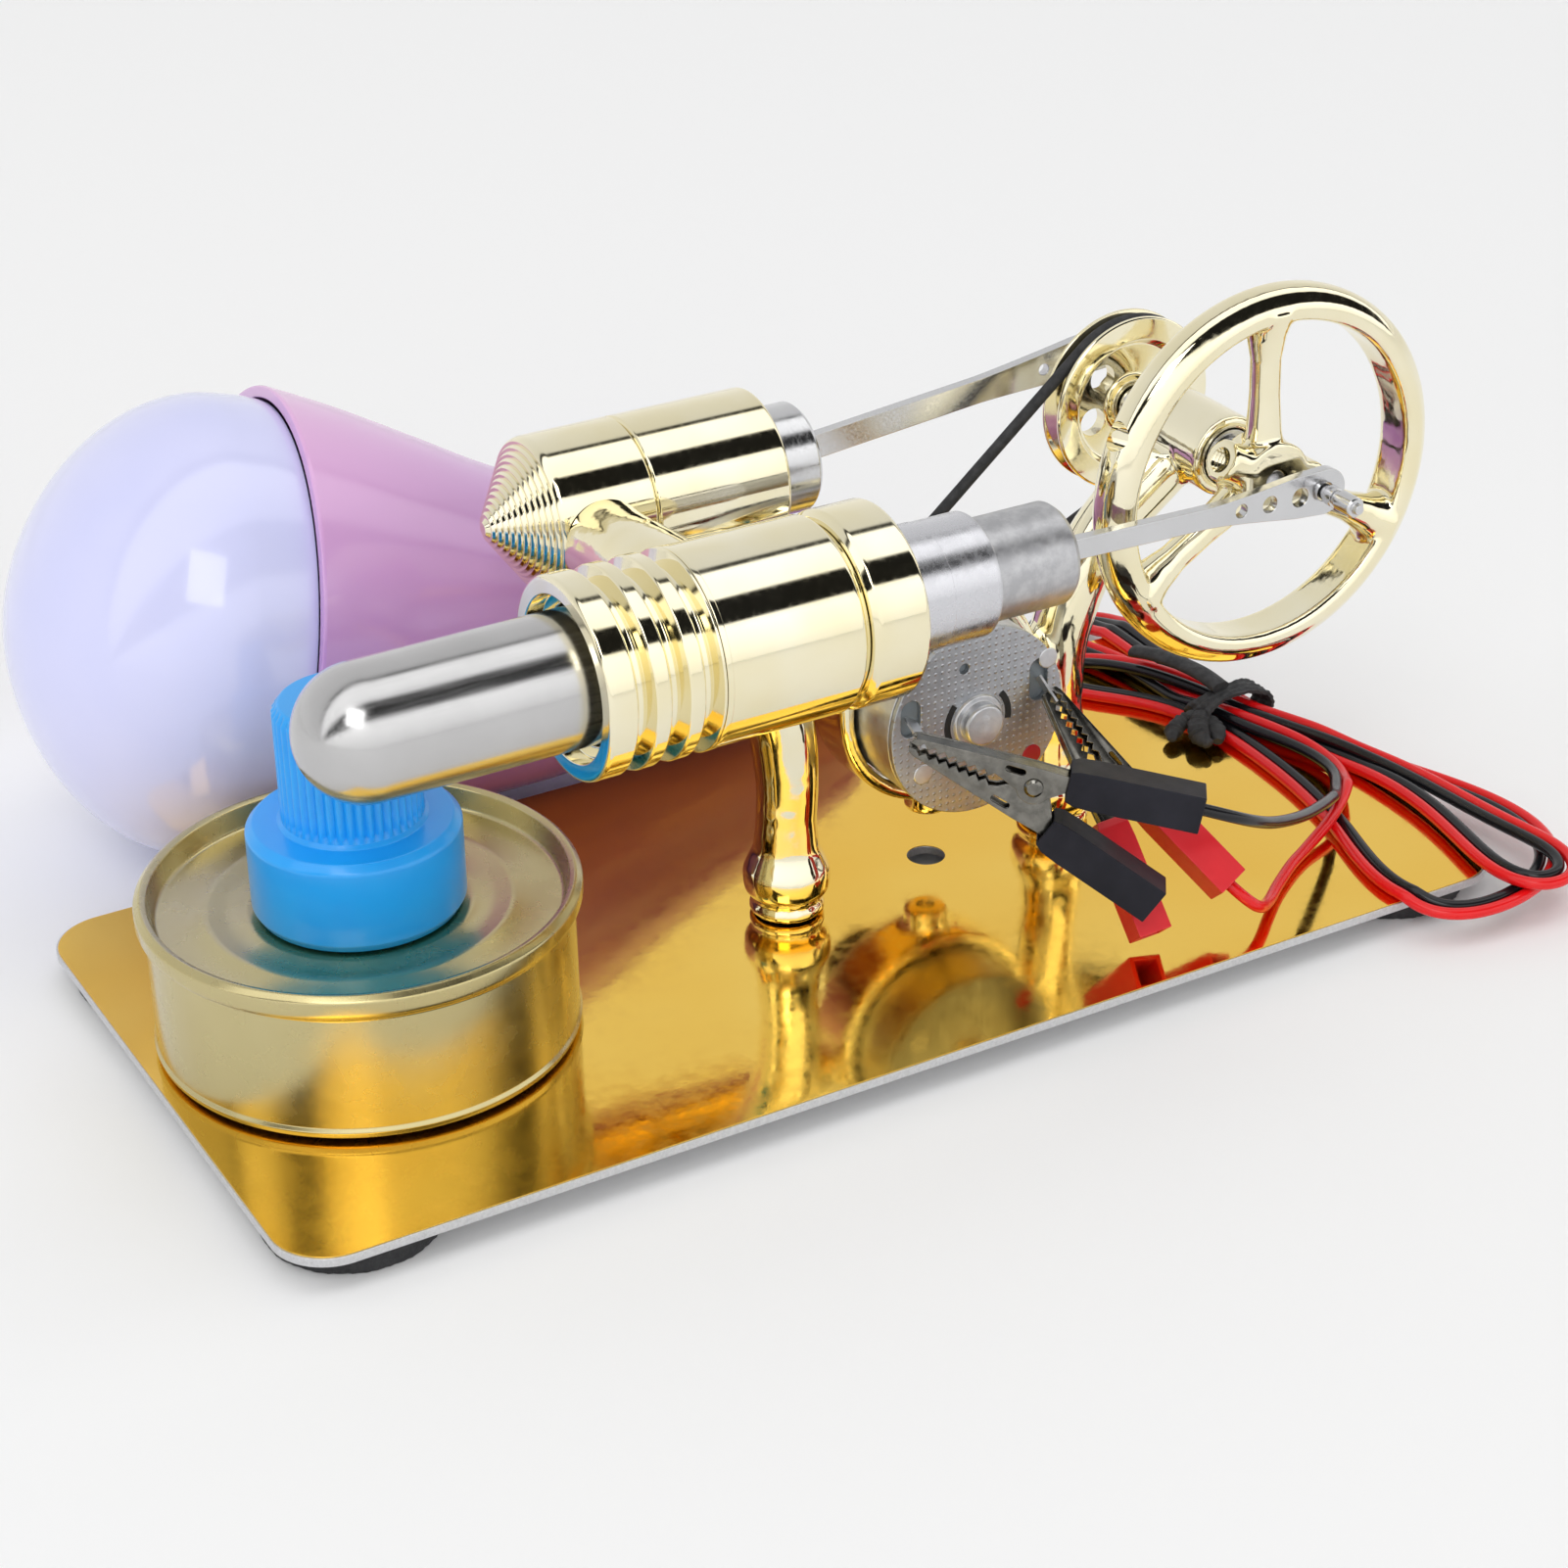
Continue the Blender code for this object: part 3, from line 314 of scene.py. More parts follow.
def turned_aluminium():
    """Lathe turned bar: fine rings, blotches on the second, greyer part."""
    m = Maker("turned_aluminium", (0.68, 0.68, 0.70), 1.0, 0.3)
    blotches = m.spread(m.noise(2.6, 5.0, 0.65), 0.42, 0.62)
    outer_part = m.along("X", 125.0, 126.4)
    aged = m.blend(blotches, (0.46, 0.46, 0.475), (0.56, 0.56, 0.57))
    m.colour(outer_part, (0.66, 0.66, 0.69), aged)
    wear = m.spread(m.noise(1.4, 4.0), 0.35, 0.65, 0.0, 0.10)
    ground = m.spread(outer_part, 0.0, 1.0, 0.22, 0.36)
    m.link(m.add("Math", {0: wear, 1: ground}).outputs[0], "Roughness")
    m.bump(m.waves("X", 0.55, 1.2), 0.003)
    m.bump(m.noise(0.7, 3.0), 0.0012)
    return m.material


def raw_aluminium():
    """Cut sheet edge and back: bright grain."""
    m = Maker("raw_aluminium", (0.72, 0.72, 0.73), 1.0, 0.45)
    m.colour(m.noise(0.5, 5.0, 0.8), (0.42, 0.42, 0.43), (0.92, 0.92, 0.93))
    m.roughness(m.noise(0.4, 3.0), 0.35, 0.6)
    m.bump(m.noise(0.4, 5.0, 0.8), 0.05)
    return m.material


def zinc(name, dimples):
    """Zinc plated sheet; the dimpled kind is darker, with a net of pressed points."""
    m = Maker(name, (0.66, 0.66, 0.67), 1.0, 0.36)
    light, dark = (0.70, 0.70, 0.71), (0.60, 0.61, 0.63)
    if dimples:
        light, dark = (0.52, 0.54, 0.57), (0.44, 0.455, 0.48)
    m.colour(m.patches(1.6, 5.0), light, dark)
    m.roughness(m.noise(2.0, 4.0), 0.30, 0.46)
    m.bump(m.noise(0.6, 3.0), 0.0015)
    if dimples:
        net = m.add("Math", {0: m.waves("X", 1.25), 1: m.waves("Z", 1.25)}, operation="MULTIPLY")
        m.bump(m.spread(net.outputs[0], 0.55, 0.9), 0.07)
    return m.material


def nickel():
    """Stamped nickel plated jaws, worn, their colour mottled at random between two dark tones."""
    m = Maker("nickel_clip", (0.58, 0.57, 0.54), 1.0, 0.28)
    m.colour(m.patches(1.8, 5.0, 0.35, 0.6), (0.24, 0.23, 0.205), (0.15, 0.145, 0.13))
    m.roughness(m.noise(2.5, 3.0), 0.17, 0.26)
    m.bump(m.noise(3.0, 3.0), 0.002)
    return m.material


def lacquered_tin():
    """Gold lacquer over drawn tinplate: fine upright drawing lines, dull patches."""
    m = Maker("lacquered_tin", (0.62, 0.53, 0.27), 1.0, 0.28, Coat_Weight=0.35,
              Coat_Roughness=0.12)
    m.colour(m.patches(28.0, 2.0), (0.60, 0.52, 0.27), (0.54, 0.455, 0.215))
    m.roughness(m.noise(6.0, 3.0), 0.24, 0.30)
    m.bump(m.noise(0.8, 2.0, 0.5, (1, 1, 0.1)), 0.0012)
    return m.material


def plastic(name, light, dark, roughness, grain_mm=0.5, grain_depth=0.003, coat=0.0, shine=0.5):
    """Moulded plastic: slightly mottled colour, uneven gloss and a fine grain."""
    m = Maker(name, light, 0.0, roughness, Coat_Weight=coat, Coat_Roughness=0.08,
              Specular_IOR_Level=shine)
    m.colour(m.patches(7.0), light, dark)
    m.roughness(m.noise(3.0, 3.0), roughness * 0.93, roughness * 1.08)
    m.bump(m.noise(grain_mm, 3.0), grain_depth)
    return m.material


def pink_shell_painted_shade():
    """Glossy lilac pink shell, purple towards the underside: painted shade in its colour."""
    m = Maker("pink_shell_painted_shade", (0.78, 0.40, 0.72), 0.0, 0.22, Coat_Weight=0.4, Coat_Roughness=0.06)
    # Painted shade: the colour goes by height from pink at the top to purple at the bottom
    m.colour(m.along("Z", 22.0, 84.0), (0.42, 0.20, 0.62), (0.80, 0.46, 0.74))
    m.roughness(m.noise(9.0, 3.0), 0.19, 0.24)
    m.bump(m.noise(3.0, 2.0), 0.0008)
    return m.material


def milky_dome():
    """Milky lavender diffuser, glossy outside."""
    m = Maker("milky_dome", (0.80, 0.81, 0.98), 0.0, 0.16, Coat_Weight=0.5, Coat_Roughness=0.05)
    m.colour(m.patches(30.0, 2.0), (0.70, 0.71, 0.98), (0.64, 0.66, 0.96))
    m.roughness(m.noise(9.0, 3.0), 0.14, 0.18)
    m.bump(m.noise(4.0, 2.0), 0.0008)
    return m.material


def rubber(name, grain_depth=0.03):
    m = Maker(name, (0.022, 0.022, 0.024), 0.0, 0.7)
    m.colour(m.noise(1.0, 5.0, 0.7), (0.010, 0.010, 0.011), (0.045, 0.045, 0.048))
    m.roughness(m.noise(1.6, 4.0), 0.55, 0.85)
    m.bump(m.noise(0.55, 5.0, 0.7), grain_depth)
    return m.material


def cotton():
    m = Maker("wick_strands", (0.85, 0.82, 0.74), 0.0, 0.9)
    strands = m.noise(0.5, 4.0, 0.6, (1, 1, 0.1))
    m.colour(strands, (0.62, 0.58, 0.48), (0.92, 0.90, 0.84))
    m.bump(strands, 0.2)
    return m.material


# Finishes: the record's slot and the material that stands for it
GOLD = ("gold_plating", gold("gold_turned", 0.003))
GOLD_CAST = ("gold_plating", gold("gold_cast", 0.05))
FOIL = ("gold_film", gold_foil())
STEEL_X = ("steel", steel("steel_drawn_x", (0.05, 1, 1), (0.58, 0.575, 0.575), 0.17, 0.24))
STEEL = ("steel", steel("steel_plain", (0.3, 1, 0.6), (0.60, 0.60, 0.61), 0.20, 0.36))
STEEL_BRIGHT = ("steel", steel("steel_bright", (1, 0.1, 1), (0.66, 0.66, 0.67), 0.14, 0.26))
LINER = ("aluminium", STEEL_BRIGHT[1])
TURNED = ("aluminium", turned_aluminium())
RAW = ("aluminium", raw_aluminium())
ZINC = ("zinc_plate", zinc("zinc_plain", False))
ZINC_DIMPLED = ("zinc_plate", zinc("zinc_dimpled", True))
NICKEL = ("clip_steel", nickel())
TIN = ("tin_lacquer", lacquered_tin())
BRASS = ("brass", steel("brass_turned", (1, 1, 0.2), (0.75, 0.56, 0.26), 0.22, 0.4))
GRAPHITE = ("graphite", plastic("graphite_block", (0.06, 0.06, 0.06), (0.03, 0.03, 0.03), 0.45))
BLUE = ("blue_plastic", plastic("blue_moulding", (0.012, 0.38, 0.92), (0.010, 0.35, 0.90), 0.30,
                                0.8, 0.001, 0.25))
RED = ("red_insulation", plastic("red_vinyl", (0.80, 0.008, 0.010), (0.76, 0.007, 0.009), 0.22,
                                 2.0, 0.0004, shine=0.4))
BLACK = ("black_insulation", plastic("black_vinyl", (0.006, 0.006, 0.008), (0.009, 0.009, 0.011),
                                     0.22, 2.0, 0.0004, shine=0.4))
GRIPS = {
    "black": ("black_insulation", plastic("black_grip", (0.008, 0.008, 0.013),
                                          (0.016, 0.016, 0.024), 0.42, 0.8, 0.006, shine=0.22)),
    "red": ("red_insulation", plastic("red_grip", (0.78, 0.02, 0.03), (0.70, 0.014, 0.022), 0.34,
                                      0.8, 0.006, 0.1)),
}
RUBBER = ("rubber", rubber("rubber_black"))
FELT = ("rubber", rubber("rubber_foot", 0.35))
TIE = ("rubber", rubber("tie_wrap", 0.12))
PINK = ("pink_plastic", pink_shell_painted_shade())
MILKY = ("diffuser_plastic", milky_dome())
COTTON = ("wick_cotton", cotton())
WINDOW = ("zinc_plate", plastic("grey_window", (0.16, 0.19, 0.21), (0.22, 0.25, 0.27), 0.18, 0.8,
                                0.004))
# Painted shade: a near-black sheet standing for the dark inside of the plate's arc slots
SLOT_SHADE = ("zinc_plate", plastic("painted_slot_shade", (0.006, 0.006, 0.006), (0.012, 0.012, 0.012), 0.6))
RED_DOT = ("zinc_plate", plastic("red_dot", (0.55, 0.012, 0.02), (0.40, 0.008, 0.012), 0.3))

BY_SLOT = dict((GOLD, FOIL, STEEL, NICKEL, TURNED, ZINC, TIN, BRASS, GRAPHITE, RUBBER, BLACK, RED,
                BLUE, PINK, MILKY, COTTON))


def dress_cad_nodes():
    """The nodes that stay in view take the detailed material of their slot."""
    for node in NODES.values():
        for place in node.material_slots:
            if place.material and place.material.name in BY_SLOT:
                place.material = BY_SLOT[place.material.name]


# Mesh building


def mesh_of(work, name):
    bmesh.ops.remove_doubles(work, verts=work.verts, dist=1e-7)
    bmesh.ops.recalc_face_normals(work, faces=work.faces)
    mesh = bpy.data.meshes.new(name)
    work.to_mesh(mesh)
    work.free()
    return mesh


def keep(shape, name, body, node, finish, sharp=38, weighted=False):
    """Makes a mesh or bmesh a piece: smooth, with its finish, riding on its body."""
    mesh = mesh_of(shape, name) if isinstance(shape, bmesh.types.BMesh) else shape
    slot, material = finish
    piece = in_scene(name, mesh)
    mesh.materials.clear()
    mesh.materials.append(material)
    mesh.shade_smooth()
    mesh.set_sharp_from_angle(angle=radians(sharp))
    if weighted:
        piece.modifiers.new("even_normals", "WEIGHTED_NORMAL").keep_sharp = True
    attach(piece, body)
    if node:
        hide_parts(node)
    return piece


def rounded(profile, fillet, steps=4):
    """The (station, radius[, fillet]) corners of a closed profile, each rounded off. A corner
    on the axis or nearly straight stays as it is."""
    count = len(profile)
    out = []
    for i, corner in enumerate(profile):
        size = corner[2] if len(corner) > 2 else fillet
        before = Vector(profile[i - 1][:2])
        here = Vector(corner[:2])
        after = Vector(profile[(i + 1) % count][:2])
        back, on = before - here, after - here
        if size == 0 or here.y < 1e-6 or back.length < 1e-6 or on.length < 1e-6:
            out.append(here)
            continue
        half = max(back.angle(on) / 2, 0.05)
        if half > radians(80):
            out.append(here)
            continue
        cut = min(size / tan(half), 0.45 * back.length, 0.45 * on.length)
        start = here + back.normalized() * cut
        end = here + on.normalized() * cut
        for k in range(steps + 1):
            t = k / steps
            out.append(start * (1 - t) ** 2 + here * 2 * t * (1 - t) + end * t * t)
    return out


def side_axes(axis):
    axis = Vector(axis).normalized()
    across = AXIS_UP if abs(axis.z) < 0.9 else AXIS_X
    first = across.cross(axis).normalized()
    return axis, first, axis.cross(first)


def loft(work, rings, closed=False):
    """Faces along a row of rings, closed on itself or with flat ends. In a closed row a ring
    may be a single point."""
    pairs = list(zip(rings, rings[1:]))
    if closed:
        pairs.append((rings[-1], rings[0]))
    for ring, onward in pairs:
        count = max(len(ring), len(onward))
        for k in range(count):
            m = (k + 1) % count
            corners = (ring[k % len(ring)], ring[m % len(ring)], onward[m % len(onward)],
                       onward[k % len(onward)])
            corners = tuple(dict.fromkeys(corners))
            if len(corners) > 2:
                work.faces.new(corners)
    if not closed:
        work.faces.new(rings[0][::-1])
        work.faces.new(rings[-1])
    return work


def turn_mesh(profile, origin, axis, steps=128, fillet=0.25, ripple=None, corner_steps=4):
    """A bmesh turned from a closed profile. ripple(station, radius, angle) moves a radius."""
    axis, first, second = side_axes(axis)
    origin = world(origin)
    work = bmesh.new()
    rings = []
    for station, radius in rounded(profile, fillet, corner_steps):
        centre = origin + axis * station * MM
        if radius < 1e-6:
            rings.append([work.verts.new(centre)])
            continue
        ring = []
        for k in range(steps):
            angle = tau * k / steps
            at = radius + (ripple(station, radius, angle) if ripple else 0.0)
            out = first * cos(angle) + second * sin(angle)
            ring.append(work.verts.new(centre + out * at * MM))
        rings.append(ring)
    return loft(work, rings, closed=True)


def lathe(name, body, node, finish, profile, origin, axis, steps=128, fillet=0.25, sharp=38,
          ripple=None, corner_steps=4):
    work = turn_mesh(profile, origin, axis, steps, fillet, ripple, corner_steps)
    return keep(work, name, body, node, finish, sharp, True)


def smooth_route(points, spans):
    """A Catmull-Rom curve through the points, cut into equal parts between them."""
    points = [Vector(point) for point in points]
    padded = [2 * points[0] - points[1], *points, 2 * points[-1] - points[-2]]
    route = []
    for before, start, end, after in zip(padded, padded[1:], padded[2:], padded[3:]):
        for i in range(spans):
            t = i / spans
            bend = 2 * before - 5 * start + 4 * end - after
            close = 3 * start - before - 3 * end + after
            route.append(start + (end - before) * t / 2 + bend * t * t / 2 + close * t**3 / 2)
    route.append(points[-1])
    return route


def swelling(points, spans):
    """A smooth route through (x, y, z, radius) points, and its radius at each place."""
    route = smooth_route([point[:3] for point in points], spans)
    return route, list(np.interp(np.linspace(0, 1, len(route)), np.linspace(0, 1, len(points)),
                                 [point[3] for point in points]))


def tube_mesh(route, radii, sides=24, closed=False, squash=1.0):
    """A bmesh tube along world points (mm), its ends capped by flat faces."""
    points = [world(point) for point in route]
    count = len(points)
    work = bmesh.new()
    rings = []
    across = None
    for i, point in enumerate(points):
        if closed:
            ahead = points[(i + 1) % count] - points[i - 1]
        else:
            ahead = points[min(i + 1, count - 1)] - points[max(i - 1, 0)]
        ahead.normalize()
        if across is None:
            across = side_axes(ahead)[1]
        across = (across - ahead * across.dot(ahead)).normalized()
        other = ahead.cross(across)
        radius = radii[i] if hasattr(radii, "__len__") else radii
        ring = []
        for k in range(sides):
            angle = tau * k / sides
            out = across * cos(angle) + other * sin(angle) * squash
            ring.append(work.verts.new(point + out * radius * MM))
        rings.append(ring)
    return loft(work, rings, closed)


def merged(parts):
    """Several bmeshes in one."""
    whole = bmesh.new()
    for part in parts:
        bmesh.ops.recalc_face_normals(part, faces=part.faces)
        mesh = bpy.data.meshes.new("part")
        part.to_mesh(mesh)
        part.free()
        whole.from_mesh(mesh)
        bpy.data.meshes.remove(mesh)
    return whole


def helper(work, name):
    """A loose object for modifiers to work on."""
    return in_scene(name, mesh_of(work, name))


def made_real(thing):
    """The mesh of a helper with its modifiers applied; the helper goes."""
    bpy.context.view_layer.update()
    graph = bpy.context.evaluated_depsgraph_get()
    mesh = bpy.data.meshes.new_from_object(thing.evaluated_get(graph))
    bpy.data.objects.remove(thing, do_unlink=True)
    return mesh


def fused(work, name, voxel_mm, rounds):
    """One skin over overlapping closed shapes, with its inner corners softened."""
    thing = helper(work, name)
    skin = thing.modifiers.new("skin", "REMESH")
    skin.mode = "VOXEL"
    skin.voxel_size = voxel_mm * MM
    ease = thing.modifiers.new("ease", "SMOOTH")
    ease.factor = 0.5
    ease.iterations = rounds
    return made_real(thing)


def cut_mesh(mesh, cutters, name):
    """The mesh less the closed cutter bmeshes."""
    thing = in_scene(name, mesh)
    tools = [helper(cutter, f"{name}_tool_{i}") for i, cutter in enumerate(cutters)]
    for tool in tools:
        step = thing.modifiers.new("cut", "BOOLEAN")
        step.operation = "DIFFERENCE"
        step.object = tool
        step.solver = "EXACT"
    result = made_real(thing)
    for tool in tools:
        bpy.data.objects.remove(tool, do_unlink=True)
    return result


def bar(start, end, radius, sides=48):
    """A plain round cutter or core."""
    return tube_mesh([start, end], radius, sides)


def flat_mesh(loops, thickness, place, turn=Quaternion(), bevel=0.12, steps=3):
    """A flat shape with holes, of even thickness, its edges rounded; place and turn in mm."""
    curve = bpy.data.curves.new("flat", "CURVE")
    curve.dimensions = "2D"
    curve.fill_mode = "BOTH"
    curve.extrude = (thickness / 2 - bevel) * MM
    curve.bevel_depth = bevel * MM
    curve.bevel_resolution = steps
    curve.offset = -bevel * MM
    for loop in loops:
        spline = curve.splines.new("POLY")
        spline.points.add(len(loop) - 1)
        for point, (u, v) in zip(spline.points, loop):
            point.co = (u * MM, v * MM, 0, 1)
        spline.use_cyclic_u = True
    mesh = made_real(in_scene("flat", curve))
    mesh.transform(Matrix.Translation(world(place)) @ turn.to_matrix().to_4x4())
    work = bmesh.new()
    work.from_mesh(mesh)
    bpy.data.meshes.remove(mesh)
    return work


def arc(centre, radius, start, end, count):
    angles = [start + (end - start) * i / (count - 1) for i in range(count)]
    return [(centre[0] + radius * cos(a), centre[1] + radius * sin(a)) for a in angles]


def circle(centre, radius, count=40):
    return arc(centre, radius, 0, tau * (count - 1) / count, count)


# Cords: red and black lead side by side from the bulb, through a tied hank, to their clips

CORE = 1.0
PAIR_HALF = 1.06
# Gaps between a route's even points: along the pair, and along each lead by itself
PAIR_STEP, LEAD_STEP = 1.5, 1.6
# The pair's middle line: from the bulb's gland to the tie
FROM_BULB = [(164.5, 113.1, 13.2), (170, 112.8, 11.4), (177, 113.2, 7.8), (185, 115.5, 4.2),
             (194, 119.5, 2.2), (203, 123, 1.8), (210, 122.8, 3.2), (214.6, 117.5, 5.8),
             (215.0, 108, 7.0), (213.8, 97, 6.8), (212.8, 86, 6.8), (212.4, 75, 7.0),
             (212.6, 66, 7.4)]
WIDE_LOOP = [(215.5, 56, 7.0), (220, 45, 6.8), (224.4, 34, 6.8), (228.4, 23, 6.8),
             (230.0, 13, 6.9), (228.2, 3.5, 7.0), (221.5, -4.5, 7.2), (212, -8, 7.0),
             (203, -8.6, 6.8), (196.3, -5.6, 6.7), (193.8, 1, 6.8), (195.5, 11, 6.8),
             (199.5, 23, 6.8), (202.6, 36, 6.8), (204.0, 50, 7.0), (204.2, 66, 7.4)]
LEFT_LOOP = [(201.5, 75, 7.0), (196, 82.5, 6.8), (190.2, 88, 6.9), (186.8, 94.5, 7),
             (189.8, 101, 7.2), (196.2, 101.3, 7.8), (200.2, 95.5, 9.0), (203.4, 86, 10.8),
             (207.3, 76, 10.8), (209.8, 66, 9.5)]
RIGHT_LOOP = [(214, 54, 9.2), (218.5, 42, 9.2), (221.6, 30, 9.0), (222.4, 17, 9.0),
              (223.2, 5, 9.4), (224.6, -3, 9.8), (222.8, -9.4, 9.6), (217.2, -11.6, 9.2),
              (211.9, -8.6, 9.2), (211.2, -2, 9.4), (213.8, 8, 9.0), (216.4, 20, 9.0),
              (216.8, 34, 8.9), (214.4, 47, 7.6), (210, 57, 7.0), (208.4, 66, 7.4)]
BACK_LOOP = [(208.4, 76, 7.0), (208.8, 88, 6.8), (209.6, 100, 6.8), (210.0, 109, 7.0),
             (208.6, 116.5, 7.2), (203.2, 119.8, 6.9), (198.4, 116.4, 6.7), (199.0, 109.5, 6.8),
             (202.8, 100, 6.8), (205.2, 90, 6.8), (205.2, 79, 7.2), (205.8, 71, 8.8),
             (206.0, 66, 9.5)]
TO_SPLIT = [(208.0, 57.5, 9.6), (210.8, 49.5, 9.8), (212.0, 42.5, 9.6)]
BLACK_END = [(210.8, 37.4, 9.7), (207.6, 32.4, 10.0), (203.3, 28.1, 11.0), (198, 24, 12.6),
             (191.9, 19.3, 15.0), (184.4, 14.0, 18.0), (176.9, 9.0, 21.5), (169.5, 4.6, 25.2),
             (163.5, 1.6, 28.6), (158.6, 0.8, 31.2), (154.6, 2.8, 32.6), (151.1, 5.3, 33.5)]
RED_END = [(211.3, 36.3, 9.2), (205.9, 30.0, 9.0), (198.8, 24.7, 8.2), (190.2, 20.3, 7.0),
           (184.6, 17.2, 6.9), (178.5, 13.0, 6.9), (173.4, 8.9, 7.4), (169.2, 5.9, 9.2),
           (166.1, 6.0, 11.8), (164.0, 9.0, 14.4), (162.3, 11.6, 16.9)]
# Where the tie sits in plan
TIE_AT = (208.4, 66.0)
# Points at each lead's two ends that stay in the gland and the clip, and how far along a lead
# another point is no longer its own neighbour
HELD_AT_GLAND, HELD_AT_CLIP, NEIGHBOURS = 9, 38, 7


def evenly(points, gap):
    """The polyline's points set out again at one even gap."""
    points = np.array([tuple(point) for point in points])
    steps = np.linalg.norm(np.diff(points, axis=0), axis=1)
    run = np.concatenate([[0], np.cumsum(steps)])
    count = int(round(run[-1] / gap)) + 1
    at = np.linspace(0, run[-1], count)
    return np.stack([np.interp(at, run, points[:, i]) for i in range(3)], axis=1)


def beside(middle, shift):
    """The middle line moved sideways in plan by shift, positive to its left."""
    ahead = np.gradient(middle, axis=0)
    side = np.stack([-ahead[:, 1], ahead[:, 0], np.zeros(len(middle))], axis=1)
    side /= np.linalg.norm(side, axis=1)[:, None]
    return middle + side * shift


def ground_under(places):
    """Height of plate or table under each place, with the cable's own stiffness at the rim."""
    out_x = np.maximum(np.maximum(-places[:, 0], places[:, 0] - PLATE_LENGTH), 0)
    out_y = np.maximum(np.maximum(-places[:, 1], places[:, 1] - PLATE_WIDTH), 0)
    beyond = np.hypot(out_x, out_y)
    return np.maximum(PLATE_TOP - 0.32 * beyond, 0.0)


def settle(chains, rounds=160):
    """Lets the cores sink, spread and lie on each other and on the plate. The ends, which
    sit in the gland and the clips, stay where they are."""
    sink, apart, pull_home = 0.03, 2 * CORE + 0.06, 0.04
    rounds_without_pull, smooth_rounds = 30, 12
    sizes = [len(chain) for chain in chains]
    places = np.concatenate(chains)
    home = places.copy()
    number = np.concatenate([np.full(size, i) for i, size in enumerate(sizes)])
    order = np.concatenate([np.arange(size) for size in sizes])
    left = np.concatenate([size - np.arange(size) for size in sizes])
    held = (order < HELD_AT_GLAND) | (left <= HELD_AT_CLIP)
    same = number[:, None] == number[None, :]
    near = same & (np.abs(order[:, None] - order[None, :]) < NEIGHBOURS)
    upper = np.triu(np.ones_like(near), 1) & ~near
    inner = np.zeros(len(places), bool)
    inner[1:-1] = (number[1:-1] == number[:-2]) & (number[1:-1] == number[2:])
    inner &= ~held
    rest = np.linalg.norm(np.diff(places, axis=0), axis=1)
    linked = number[1:] == number[:-1]
    for turn in range(rounds):
        places[~held, 2] -= sink
        for _ in range(2):
            # Cores that overlap are pushed apart
            gaps = places[:, None, :] - places[None, :, :]
            far = np.sqrt((gaps ** 2).sum(2))
            first, second = np.nonzero(upper & (far < apart))
            if len(first):
                length = np.maximum(far[first, second], 1e-6)
                push = gaps[first, second] / length[:, None] * ((apart - length) / 2)[:, None]
                total = np.zeros_like(places)
                hits = np.zeros(len(places))
                np.add.at(total, first, push)
                np.add.at(total, second, -push)
                np.add.at(hits, first, 1)
                np.add.at(hits, second, 1)
                move = total / np.maximum(hits, 1)[:, None] * 1.2
                places[~held] += move[~held]
        # Links go back towards their own length
        step = np.diff(places, axis=0)
        size = np.maximum(np.linalg.norm(step, axis=1), 1e-6)
        fix = step * ((size - rest) / size * 0.5 * linked)[:, None]
        shift = np.zeros_like(places)
        shift[:-1] += fix
        shift[1:] -= fix
        places[~held] += shift[~held] * 0.8
        # Bends are smoothed
        middle = np.zeros_like(places)
        middle[1:-1] = (places[:-2] + places[2:]) / 2
        calm = 0.30 if turn < rounds - smooth_rounds else 0.45
        places[inner] += (middle[inner] - places[inner]) * calm
        if turn < rounds - rounds_without_pull:
            places[~held] += (home[~held] - places[~held]) * pull_home
        places[~held, 2] = np.maximum(places[~held, 2], ground_under(places[~held]) + CORE + 0.03)
    return np.split(places, np.cumsum(sizes)[:-1])


def cord_tube(name, points, finish, nodes):
    """A lead as one round tube."""
    route = smooth_route([tuple(point) for point in points], 2)
    tube = mesh_of(tube_mesh(route, CORE, 20), name)
    piece = in_scene(name, tube)
    tube.materials.append(finish[1])
    tube.shade_smooth()
    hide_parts(*nodes)
    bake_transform(piece)
    length = sum((b - a).length for a, b in zip(route, route[1:]))
    return piece, length, [world(place) for place in route]


